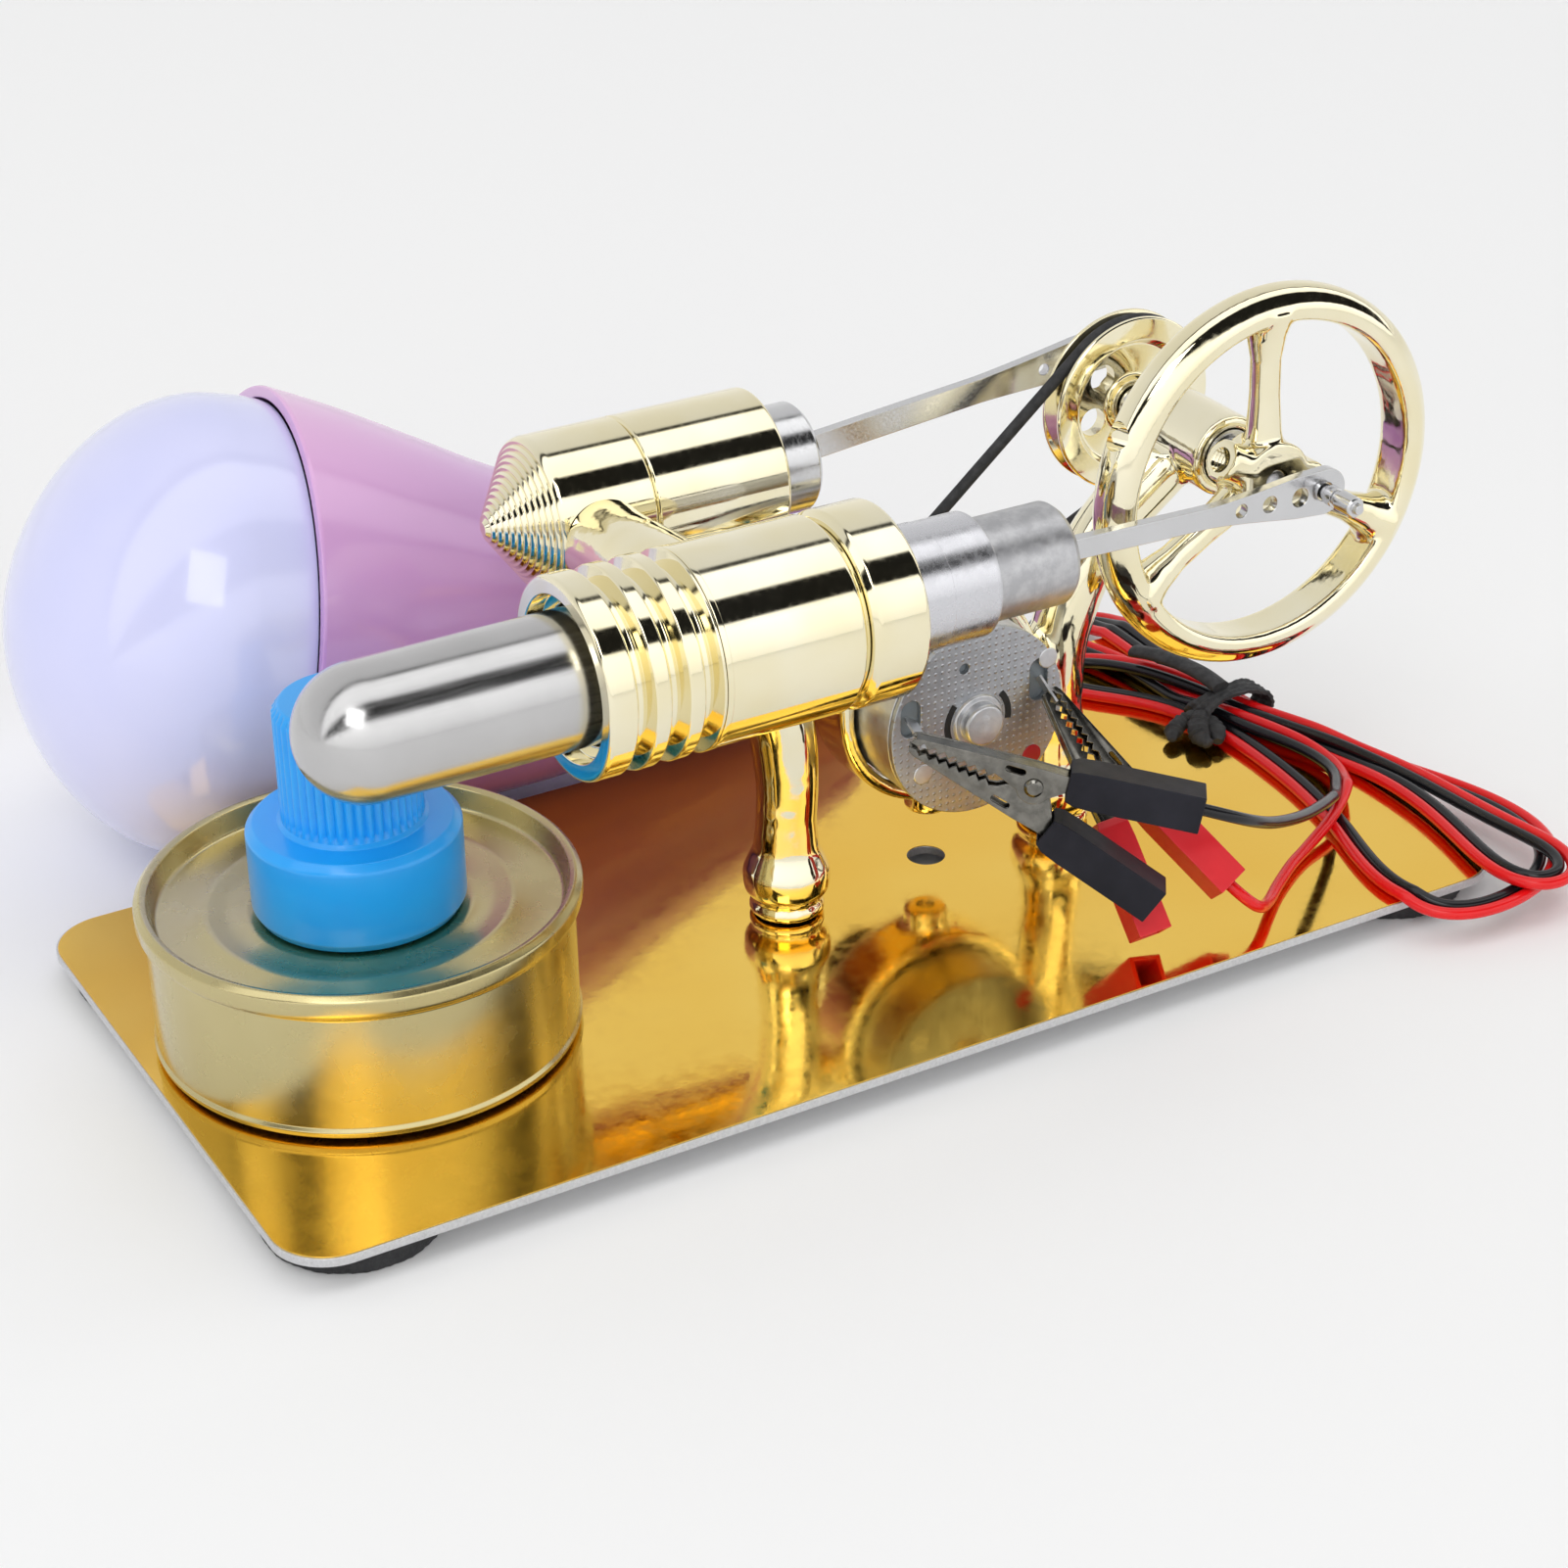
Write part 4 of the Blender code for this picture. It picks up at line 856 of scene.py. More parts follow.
def tie():
    """A wrinkled black wrap round the hank, with its twisted ends hanging on one side."""
    work = bmesh.new()
    around, rows = 96, 15
    half_wide, half_high, half_run = 7.6, 2.9, 2.6
    centre = Vector((TIE_AT[0] - 0.1, TIE_AT[1], 9.0))
    shells = []
    for depth in (0.0, -0.6):
        grid = []
        for j in range(rows):
            t = j / (rows - 1) * 2 - 1
            ring = []
            for k in range(around):
                angle = tau * k / around
                c, s = cos(angle), sin(angle)
                fold = 0.22 * sin(9 * t + 2.0 * sin(3 * angle)) * (1 - abs(t) * 0.3)
                fold += 0.12 * sin(23 * angle + 4 * t)
                x = copysign(abs(c) ** 0.8, c) * (half_wide + depth + fold)
                z = copysign(abs(s) ** 0.8, s) * (half_high + depth + fold * 0.6)
                z = max(z, PLATE_TOP + 0.05 - centre.z - depth * 0.5)
                y = t * half_run * (1 + 0.25 * sin(2 * angle + 1)) + 0.5 * sin(angle * 2)
                ring.append(work.verts.new(world(centre + Vector((x, y, z)))))
            grid.append(ring)
        shells.append(grid)
    outer, inner = shells
    loft(work, outer + inner[::-1], closed=True)
    ends = []
    for stations in (((201.0, 64.5, 9.5, 1.5), (198.6, 62.4, 8.6, 1.9), (197.4, 59.8, 7.9, 1.7),
                      (197.6, 57.4, 7.5, 0.9)),
                     ((200.6, 66.2, 8.8, 1.3), (197.4, 66.0, 8.0, 1.7), (194.8, 64.6, 7.5, 1.5),
                      (193.2, 62.6, 7.2, 0.6)),
                     ((202.0, 63.6, 8.4, 1.5), (201.2, 60.2, 7.8, 1.7), (199.6, 57.8, 7.4, 0.8))):
        route, widths = swelling(stations, 6)
        rough = [width * (1 + 0.16 * sin(2.7 * i)) for i, width in enumerate(widths)]
        ends.append(tube_mesh(route, rough, 14, squash=0.75))
    return keep(merged([work, *ends]), "cable_tie", "root", None, TIE, 60)


def tie_tail():
    """The tie's loose flat end, lying over the strands."""
    route = smooth_route([(206.4, 66.5, 12.6), (206.0, 71.5, 13.2), (205.2, 77.0, 13.2),
                          (203.8, 83.0, 12.8), (202.6, 87.6, 12.0)], 6)
    return keep(tube_mesh(route, 1.9, 20, squash=0.55), "cable_tie_tail", "root", None, TIE, 60)


def cords(clip_pieces):
    middle = smooth_route(FROM_BULB + WIDE_LOOP + LEFT_LOOP + RIGHT_LOOP + BACK_LOOP + TO_SPLIT, 8)
    middle = evenly(middle, PAIR_STEP)
    chains = []
    spans = 6
    for side, own in ((-PAIR_HALF, BLACK_END), (PAIR_HALF, RED_END)):
        body = beside(middle, side)
        tail = smooth_route([tuple(p) for p in body[-3:]] + own, spans)[2 * spans:]
        whole = np.concatenate([body[:-1], np.array([tuple(p) for p in tail])])
        chains.append(evenly(whole, LEAD_STEP))
    black, red = settle(chains)
    wrap = tie()
    tail = tie_tail()
    for colour, points, nodes, extra, finish in (
            ("black", black, ("lead_black", "cable_run"), [], BLACK),
            ("red", red, ("lead_red", "cable_hank"), [wrap, tail], RED)):
        piece, length, path = cord_tube(f"cord_{colour}", points, finish, nodes)


# Base


def plate():
    """The aluminium core and the gold film on it, with the clamp's and the legs' holes."""
    film = PLATE_TOP - 0.16
    for name, low, high, inset, node, finish, bevel in (
            ("plate_core", PLATE_BOTTOM, film, 0.0, None, RAW, 0.12),
            ("plate_film", film, PLATE_TOP, 0.25, "base_plate", FOIL, 0.04)):
        right, back, corner = PLATE_LENGTH - inset, PLATE_WIDTH - inset, 9.0
        edge = []
        for i, centre in enumerate(((right - corner, back - corner), (inset + corner, back - corner),
                                    (inset + corner, inset + corner),
                                    (right - corner, inset + corner))):
            edge += arc(centre, corner, i * QUARTER, (i + 1) * QUARTER, 16)
        holes = [circle((CLAMP_X, FRAME_Y), 3.2, 48), *(circle(at, 1.6, 24) for at in LEG_FEET)]
        work = flat_mesh([edge, *holes], high - low, (0, 0, (low + high) / 2), bevel=bevel, steps=2)
        keep(work, name, "root", node, finish, 30, True)


def foot_ripple(station, radius, angle):
    """The worn edge of a stamped rubber pad."""
    if radius <= 9:
        return 0.0
    return -0.18 - 0.16 * sin(17 * angle + station) * sin(29 * angle)


def feet():
    profile = [(0, 0), (0, 13.4, 0.8), (1.2, 13.6, 0.5), (3.7, 13.0, 0.5), (3.7, 0)]
    for side, y in (("near", FOOT_INSET), ("far", PLATE_WIDTH - FOOT_INSET)):
        for end, x in (("left", FOOT_INSET), ("right", PLATE_LENGTH - FOOT_INSET)):
            lathe(f"foot_{side}_{end}_pad", "root", f"foot_{side}_{end}", FELT, profile,
                  (x, y, 0), AXIS_UP, 120, 0.4, ripple=foot_ripple)


# Frame casting


def casting():
    """Legs, generator ring, bridge and bearing housing, grown together by a fine skin."""
    foot = [(0, 0), (0, 6.2), (1.6, 6.2), (2.3, 5.3), (4.2, 7.0, 1.2), (7.4, 7.2, 2.0),
            (11.5, 5.4, 3.0), (17.0, 4.9), (20.0, 4.8), (20.0, 0)]
    legs = (
        ((107.1, 50, 20, 4.8), (107.5, 50.3, 30, 5.1), (106.6, 51.2, 41, 5.6),
         (102.6, 52.4, 51, 5.9), (95.5, 53, 60, 6.2), (89, 53, 67, 6.6)),
        ((105.4, 51.3, 40, 4.2), (110.5, 52.3, 41.5, 3.9), (115.0, 53, 42.0, 3.7),
         (118.0, 53, 41.4, 3.6)),
        ((161.1, 53, 20, 4.8), (160.6, 53, 30, 4.9), (161.8, 53, 42, 5.0), (168.6, 53, 56, 5.1),
         (180.8, 53, 66.6, 5.3)),
        ((160.4, 53, 35.5, 4.3), (156.5, 53, 38.0, 4.2), (153.1, 53, 38.4, 4.2)),
    )
    waist = ((84.4, 32.0, 70.2, 9.4), (84.4, 43.0, 70.2, 8.4), (84.6, 53.0, 70.0, 7.7),
             (85.0, 63.0, 69.2, 7.3), (85.4, 76.0, 68.8, 7.3))
    ring = [(0, 16.5, 0.3), (0, 18.9, 1.1), (10.6, 18.9, 1.1), (10.6, 16.5, 0.3)]
    housing = [(0, 4.7), (0, 6.9, 0.8), (22.0, 6.9, 0.8), (22.0, 4.7)]
    clamp_boss = [(0, 0), (0, 3.8, 0.6), (5.4, 3.8, 0.4), (5.4, 0)]
    parts = [turn_mesh(foot, (*at, PLATE_TOP + 0.3), AXIS_UP, 64, 0.5) for at in LEG_FEET]
    parts += [tube_mesh(*swelling(leg, 8), 40) for leg in legs]
    parts.append(turn_mesh(ring, (GENERATOR_X, 47.7, GENERATOR_Z), AXIS_Y, 144))
    parts.append(turn_mesh(housing, (CRANK_X, 42.0, AXIS_Z), AXIS_Y, 72))
    parts.append(tube_mesh(*swelling(waist, 6), 72))
    parts.append(turn_mesh(clamp_boss, (CLAMP_X, FRAME_Y, 15.0), AXIS_UP, 48))
    mesh = fused(merged(parts), "casting", 0.55, 7)
    cutters = [bar((60, y, AXIS_Z), (120, y, AXIS_Z), radius, 128)
               for y, radius in ((DISPLACER_Y, 15.5), (POWER_Y, 13.3))]
    cutters += [bar((x, 40, z), (x, 66, z), radius, sides)
                for x, z, radius, sides in ((GENERATOR_X, GENERATOR_Z, 16.35, 144),
                                            (CRANK_X, AXIS_Z, 4.8, 64))]
    cutters.append(bar((CLAMP_X, FRAME_Y, 10), (CLAMP_X, FRAME_Y, 24), 1.6, 32))
    mesh = cut_mesh(mesh, cutters, "casting_cut")
    keep(mesh, "casting", "root", "engine_frame", GOLD_CAST, 50)


# Cylinders


def on_cylinder(name, node, finish, profile, y, steps=160, **more):
    """A still piece turned about a cylinder's line."""
    lathe(name, "root", node, finish, profile, (0, y, AXIS_Z), AXIS_X, steps, **more)


def quarter_dome(start, radius, steps):
    """Profile corners from the dome's point to its full radius."""
    angles = [QUARTER * i / steps for i in range(steps + 1)]
    return [(start - radius * cos(a), radius * sin(a), 0) for a in angles]


def displacer_side():
    """Hot cap, heat sink, cylinder, end cover and crosshead guide."""
    dome, outer, inner = 26.9, 10.13, 9.2
    skin = quarter_dome(dome, outer, 20)
    lining = quarter_dome(dome, inner, 12)[::-1]
    skin[0], lining[-1] = (dome - outer, 0), (dome - inner, 0)
    on_cylinder("hot_cap_shell", "hot_cap", STEEL_X,
                [*skin, (79.6, outer, 0.1), (79.6, inner, 0.1), *lining], DISPLACER_Y, 144,
                fillet=0.1)
    full, root, bore = 15.2, 12.7, 10.43
    sink = [(57.4, 12.4, 0.3), (57.4, full, 0.9)]
    for start, end in ((61.7, 64.8), (67.0, 70.2), (72.4, 75.5)):
        middle = (start + end) / 2
        sink += [(start, full, 0.5), (middle - 0.5, root, 0.5), (middle + 0.5, root, 0.5),
                 (end, full, 0.5)]
    sink += [(75.9, full, 0.3), (75.9, bore), (60.5, bore, 0.4), (60.2, 12.4, 0.3)]
    on_cylinder("heat_sink_fins", "heat_sink", GOLD, sink, DISPLACER_Y, fillet=0.4,
                corner_steps=5)
    barrel = [(76.0, bore), (76.0, full, 0.25), (76.9, full, 0.05), (77.0, full - 0.12, 0.05),
              (98.9, full - 0.12, 0.9), (99.6, full - 1.5, 0.4), (100.4, full - 1.6),
              (100.4, 9.2), (80.0, 9.2), (80.0, bore)]
    on_cylinder("displacer_barrel", "displacer_cylinder", GOLD, barrel, DISPLACER_Y)
    cover = [(100.5, 9.2), (100.5, full - 0.9, 0.4), (101.5, full, 1.0), (109.5, full, 0.9),
             (110.2, full - 1.0, 0.4), (110.2, 1.8), (107.0, 1.8), (107.0, 9.2)]
    on_cylinder("displacer_cover", "displacer_end_cover", GOLD, cover, DISPLACER_Y)
    guide = [(110.4, 1.8), (110.4, 9.84), (117.4, 9.84, 0.05), (117.5, 9.72, 0.05),
             (125.8, 9.72, 0.3), (125.8, 8.12, 0.15), (140.3, 8.12, 0.5), (141.3, 7.3, 0.4),
             (141.3, 5.6, 0.3), (114.0, 5.6), (114.0, 1.8)]
    on_cylinder("crosshead_guide", "displacer_guide", TURNED, guide, DISPLACER_Y, 144, fillet=0.2)


def power_side():
    """The stepped nose cone, the cylinder and its liner."""
    full = 13.0
    nose = [(70.2, 0), (70.25, 1.0, 0.3)]
    ridges, start, first = 12, 70.9, 1.7
    rise, run = (full - 0.3 - first) / ridges, (78.9 - start) / ridges
    for i in range(ridges):
        u, r = start + i * run, first + i * rise
        nose += [(u, r, 0.12), (u - 0.12, r + rise * 0.55, 0.2),
                 (u + run * 0.55, r + rise * 0.98, 0.15)]
    nose += [(79.0, full - 0.15, 0.25), (79.6, full, 0.3), (94.2, full, 0.25), (94.65, full - 0.5),
             (94.65, 9.4), (83.0, 9.4), (81.0, 0)]
    on_cylinder("nose_cone", "cylinder_nose", GOLD, nose, POWER_Y, fillet=0.2, sharp=32)
    barrel = [(94.7, 9.4), (94.7, full - 0.5), (95.1, full, 0.3), (118.2, full, 0.8),
              (118.8, full - 0.9, 0.3), (118.8, 9.4)]
    on_cylinder("power_barrel", "power_cylinder", GOLD, barrel, POWER_Y)
    liner = [(84.0, 7.5), (84.0, 9.1), (126.0, 9.1, 0.5), (126.7, 8.5, 0.4), (126.7, 7.5, 0.3)]
    on_cylinder("cylinder_liner", "power_liner", LINER, liner, POWER_Y, 128)


# Rods and shaft


def radial(angle, radius, y=0.0):
    """A place round the crankshaft's line."""
    return (CRANK_X + radius * cos(angle), y, AXIS_Z + radius * sin(angle))


def rod_between(name, body, node, wrist_x, y, crank_angle, height, eye, holes):
    """A flat sheet steel rod from wrist to crank pin, widening smoothly to its eye."""
    pin_x, _, pin_z = radial(crank_angle, CRANK_RADIUS)
    length = hypot(pin_x - wrist_x, pin_z - AXIS_Z)
    slope = atan2(pin_z - AXIS_Z, pin_x - wrist_x)
    swell = [(length * t, height / 2 + (eye - height / 2) * ((t - 0.62) / 0.32) ** 1.3)
             for t in (0.66, 0.74, 0.82, 0.9)]
    edge = arc((0, 0), height / 2, QUARTER, 3 * QUARTER, 24)
    edge += [(length * 0.62, -height / 2)] + [(u, -v) for u, v in swell]
    edge += arc((length, 0), eye, -QUARTER, QUARTER, 32)
    edge += [(u, v) for u, v in reversed(swell)] + [(length * 0.62, height / 2)]
    loops = [edge, circle((0, 0), 1.3), circle((length, 0), 1.6)]
    loops += [circle((station, 0), radius) for station, radius in holes]
    turn = Quaternion(AXIS_Y, -slope) @ Quaternion(AXIS_X, QUARTER)
    work = flat_mesh(loops, 1.8, (wrist_x, y, AXIS_Z), turn, 0.14)
    keep(work, name, body, node, STEEL_BRIGHT, 30, True)


def rods():
    rod_between("front_rod", "displacer_link", "displacer_conrod", 134.0, DISPLACER_Y,
                FRONT_CRANK_ANGLE, 3.56, 3.9, ((42.4, 1.15), (48.0, 1.4), (54.0, 1.6)))
    rod_between("rear_rod", "power_link", "power_conrod", 119.0, POWER_Y, REAR_CRANK_ANGLE, 4.3,
                3.6, ((55.8, 1.0),))


def crank_pins():
    """Two plain pins; the front one's free end has a groove and a nose."""
    front_run, rear_run = 11.9, 8.4
    front = [(0, 0), (0, 0.8), (0.9, 0.95, 0.1), (0.9, 1.45), (1.2, 1.7), (4.6, 1.7, 0.05),
             (4.7, 1.3, 0.05), (5.5, 1.3, 0.05), (5.6, 1.7, 0.05), (7.4, 1.7, 0.2), (7.4, 1.3),
             (front_run, 1.3), (front_run, 0)]
    rear = [(0, 0), (0, 1.0), (0.35, 1.3), (rear_run, 1.3), (rear_run, 0)]
    for name, body, node, profile, place in (
            ("front_crank_pin", "displacer_link", "displacer_crank_pin", front,
             radial(FRONT_CRANK_ANGLE, CRANK_RADIUS, 17.0)),
            ("rear_crank_pin", "power_link", "power_crank_pin", rear,
             radial(REAR_CRANK_ANGLE, CRANK_RADIUS, 74.6))):
        lathe(name, body, node, STEEL_BRIGHT, profile, place, AXIS_Y, 40, 0.1)


def flywheel():
    """Rim, spokes, hub and bosses as one casting, then its bores."""
    low, high = FLYWHEEL_Y - 4.1, FLYWHEEL_Y + 4.1
    rim = [(0.7, 26.6, 1.0), (0, 27.6, 1.2), (0, 29.2, 2.2), (2.2, 32.0, 3.0),
           (6.0, 32.0, 3.0), (8.2, 29.2, 2.2), (8.2, 27.6, 1.2), (7.5, 26.6, 1.0)]
    parts = [turn_mesh(rim, (CRANK_X, low, AXIS_Z), AXIS_Y, 200, corner_steps=6)]
    parts.append(bar((CRANK_X, 29.7, AXIS_Z), (CRANK_X, 37.5, AXIS_Z), 6.6, 72))
    stations = [(4.0, 3.6), (8.0, 2.9), (14.0, 2.5), (20.0, 2.5), (24.0, 3.2), (28.5, 4.8)]
    for angle in SPOKE_ANGLES:
        route = [radial(angle, reach, FLYWHEEL_Y) for reach, _ in stations]
        parts.append(tube_mesh(route, [radius for _, radius in stations], 36))
    parts.append(bar(radial(FRONT_CRANK_ANGLE, CRANK_RADIUS, low + 0.1),
                     radial(FRONT_CRANK_ANGLE, CRANK_RADIUS, high - 2.0), 3.6, 48))
    parts.append(bar(radial(SET_SCREW_ANGLE, 4.0, SET_SCREW_Y),
                     radial(SET_SCREW_ANGLE, 10.2, SET_SCREW_Y), 3.5, 48))
    mesh = fused(merged(parts), "flywheel", 0.42, 6)
    bore_start = Vector(radial(SET_SCREW_ANGLE, 3.4, SET_SCREW_Y))
    bore_run = Vector(radial(SET_SCREW_ANGLE, 4.4, SET_SCREW_Y)) - bore_start
    pitch = 0.75
    tapped = [(0, 0)]
    for i in range(12):
        tapped += [(pitch * i, 2.05, 0.04), (pitch * (i + 0.5), 2.4, 0.04)]
    tapped += [(12 * pitch, 0)]
    cutters = [
        bar((CRANK_X, 26, AXIS_Z), (CRANK_X, 40, AXIS_Z), 2.3, 48),
        turn_mesh(tapped, bore_start, bore_run, 40, 0.02),
        bar(radial(RIM_HOLE_ANGLE, 24.0, FLYWHEEL_Y), radial(RIM_HOLE_ANGLE, 34.0, FLYWHEEL_Y),
            2.4, 48),
    ]
    mesh = cut_mesh(mesh, cutters, "flywheel_cut")
    keep(mesh, "flywheel_casting", "crank", "flywheel", GOLD_CAST, 45)


def set_screw():
    """A threaded grub screw with a blind bore in its outer end."""
    start, end = (radial(SET_SCREW_ANGLE, reach, SET_SCREW_Y) for reach in (3.5, 8.6))
    profile = [(0, 0)]
    for i in range(3):
        u = 0.2 + i * 0.72
        profile += [(u, 1.6, 0.05), (u + 0.36, 1.95, 0.05)]
    profile += [(2.5, 1.6), (2.5, 0.9), (1.5, 0.9), (1.5, 0)]
    lathe("grub_screw", "crank", "flywheel_screw", STEEL, profile, start,
          Vector(end) - Vector(start), 32, 0.05)


def pulley_wheel():
    """The grooved wheel with its five round holes, and the boss at its crank pin."""
    profile = [(68.9, 11.3, 0.3), (68.9, 14.9), (69.2, 15.2), (69.7, 15.2, 0.3),
               (70.4, 12.2, 0.5), (72.7, 12.2, 0.5), (73.4, 15.2, 0.3), (73.9, 15.2),
               (74.2, 14.9), (74.2, 11.5, 0.4), (72.7, 10.4, 0.8), (72.6, 4.8, 0.8),
               (74.2, 4.3, 0.3), (74.2, 2.3), (68.9, 2.3), (68.9, 4.3, 0.3), (70.4, 4.8, 0.8),
               (70.4, 10.4, 0.8)]
    mesh = mesh_of(turn_mesh(profile, (CRANK_X, 0, AXIS_Z), AXIS_Y, 160), "pulley")
    holes = [bar(radial(REAR_CRANK_ANGLE + tau * i / 6, 7.6, 66.0),
                 radial(REAR_CRANK_ANGLE + tau * i / 6, 7.6, 76.0), 2.4, 48)
             for i in range(1, 6)]
    keep(cut_mesh(mesh, holes, "pulley_cut"), "pulley_casting", "crank", "pulley_wheel", GOLD, 30)
    lathe("pulley_boss", "crank", None, GOLD, [(0, 0), (0, 2.9), (3.4, 2.9, 0.4), (3.4, 0)],
          radial(REAR_CRANK_ANGLE, CRANK_RADIUS, 70.8), AXIS_Y, 64, 0.2)


def shaft():
    """The axle with its two collars, and the races of both bearings."""
    profile = [(30.2, 0), (30.2, 2.0), (38.2, 2.0, 0.05), (38.2, 3.4), (41.6, 3.4),
               (41.6, 2.0, 0.05), (64.4, 2.0, 0.05), (64.4, 3.4), (68.5, 3.4), (68.5, 2.0, 0.05),
               (73.8, 2.0), (73.8, 0)]
    lathe("crank_axle", "crank", "crankshaft", STEEL_BRIGHT, profile, (CRANK_X, 0, AXIS_Z), AXIS_Y,
          64, 0.2)
    race = [(0, 2.35), (0, 3.1, 0.05), (0.25, 3.1, 0.05), (0.25, 3.9, 0.05), (0, 3.9, 0.05),
            (0, 4.6), (3.4, 4.6), (3.4, 3.9, 0.05), (3.15, 3.9, 0.05), (3.15, 3.1, 0.05),
            (3.4, 3.1, 0.05), (3.4, 2.35)]
    for end, low in (("front", 42.3), ("rear", 60.3)):
        lathe(f"{end}_race", "root", f"bearing_{end}", STEEL_BRIGHT, race, (CRANK_X, low, AXIS_Z),
              AXIS_Y, 64, 0.1)


def belt():
    """One still round loop that clears both grooves."""
    big, small = 14.1, 6.2
    span = hypot(CRANK_X - GENERATOR_X, AXIS_Z - GENERATOR_Z)
    line = atan2(AXIS_Z - GENERATOR_Z, CRANK_X - GENERATOR_X)
    lean = acos((big - small) / span)
    loop = arc((CRANK_X, AXIS_Z), big, line - pi + lean, line + pi - lean, 80)
    loop += arc((GENERATOR_X, GENERATOR_Z), small, line + pi - lean, line + pi + lean, 40)
    work = tube_mesh([(x, BELT_Y, z) for x, z in loop], 1.0, 20, closed=True)
    keep(work, "round_belt", "root", "drive_belt", RUBBER, 60)


# Generator


def upright(loops, thickness, y, bevel):
    """A flat shape that stands across the generator's line."""
    return flat_mesh(loops, thickness, (GENERATOR_X, y, GENERATOR_Z),
                     Quaternion(AXIS_X, QUARTER), bevel)


def generator():
    """The can, its dimpled end plate with windows and near-black arcs of painted shade for its
    slots, the boss and the belt pulley.
    """
    at = (GENERATOR_X, 0, GENERATOR_Z)
    outer = 16.1
    can = [(38.8, 14.9), (38.8, outer, 0.2), (61.2, outer, 0.9), (62.0, outer - 1.2, 0.5),
           (62.0, 4.8, 0.4), (64.0, 4.8, 0.4), (64.0, 1.6), (60.8, 1.6), (60.8, 14.9)]
    lathe("generator_shell", "root", "generator_can", ZINC, can, at, AXIS_Y, 144)
    loops = [circle((0, 0), outer, 144), circle((132.7 - GENERATOR_X, 47.7 - GENERATOR_Z), 0.9, 28)]
    for x, z, width, height in ((122.8, 41.4, 3.6, 6.4), (146.9, 42.2, 3.4, 7.4)):
        u, v = x - GENERATOR_X, z - GENERATOR_Z
        r, h = width / 2, height / 2 - width / 2
        loops.append(arc((u, v + h), r, 0, 2 * QUARTER, 14)
                     + arc((u, v - h), r, 2 * QUARTER, 4 * QUARTER, 14))
    keep(upright(loops, 1.0, 38.1, 0.16), "generator_plate", "root", "generator_end_plate",
         ZINC_DIMPLED, 30, True)
    keep(upright([circle((0, 0), outer - 1.4, 96)], 0.24, 38.74, 0.04), "generator_window", "root",
         None, WINDOW, 30, True)
    boss = [(0, 0), (0, 3.3, 0.5), (0.5, 3.6, 0.3), (1.9, 3.6, 0.1), (1.9, 4.4, 0.3),
            (2.5, 4.8, 0.2), (2.5, 0)]
    lathe("generator_boss", "root", None, ZINC, boss, (GENERATOR_X, 35.2, GENERATOR_Z), AXIS_Y,
          72, 0.2)
    # Thin near-black arcs on the plate's face: painted shade in place of cut slots
    for side, start, end in (("left", 140, 205), ("right", -10, 42)):
        start, end = radians(start), radians(end)
        curve = arc((0, 0), 6.3, start, end, 18) + arc((0, 0), 5.2, end, start, 18)
        keep(upright([curve], 0.1, 37.56, 0.02), f"generator_slot_shade_{side}", "root", None, SLOT_SHADE, 30)
    for name, finish, depth, place in (("mark", RED_DOT, 0.16, (145.9, 37.46, 28.9)),
                                       ("crimp_upper", ZINC, 0.12, (148.6, 37.5, 45.6)),
                                       ("crimp_lower", ZINC, 0.12, (125.2, 37.5, 31.0))):
        edge = (1.7, 0.08) if name == "mark" else (1.6, 0.1)
        lathe(f"generator_{name}", "root", None, finish,
              [(0, 0), (0, *edge), (depth, 1.8), (depth, 0)], place, AXIS_Y, 40, 0.05)
    pulley = [(69.2, 1.3), (69.2, 7.3), (69.7, 7.3), (70.4, 4.9, 0.5), (72.7, 4.9, 0.5),
              (73.4, 7.3), (73.9, 7.3), (73.9, 1.3)]
    lathe("small_pulley", "generator_rotor", "generator_pulley", BRASS, pulley, at, AXIS_Y, 96,
          0.15)


# Clips


def clip_frame(colour):
    tip, heading, pitch, roll, size = CLIPS[colour]
    heading, pitch, roll = map(radians, (heading, pitch, roll))
    flat = Vector((cos(heading), sin(heading), 0))
    along = flat * cos(pitch) + AXIS_UP * sin(pitch)
    rise = AXIS_UP * cos(pitch) - flat * sin(pitch)
    opening = Quaternion(along, roll) @ rise
    across = along.cross(opening).normalized()
    opening = across.cross(along)
    return Vector(tip), along, opening, across, size


def jaw_side(sign):
    """Outline of one cheek of a jaw: toothed inner edge, ear round the rivet, tail."""
    teeth = []
    for i in range(8):
        u = 1.2 + i * 1.75
        teeth += [(u, 0.75 - 0.35), (u + 0.87, 1.25)]
    inner = [(0.0, 0.5), *teeth, (15.6, 0.9)]
    ear = arc((RIVET_AT[0], RIVET_AT[1] * sign), 2.9, radians(-150), radians(-20), 16)
    ear = [(u, max(v, -1.4)) for u, v in ear]
    tail = [(26.8, 3.6), (42.0, 7.1), (42.0, 8.0), (27.0, 5.9), (20.0, 5.0), (1.2, 1.7),
            (0.2, 1.2)]
    return [(u, v * sign) for u, v in inner + ear + tail]


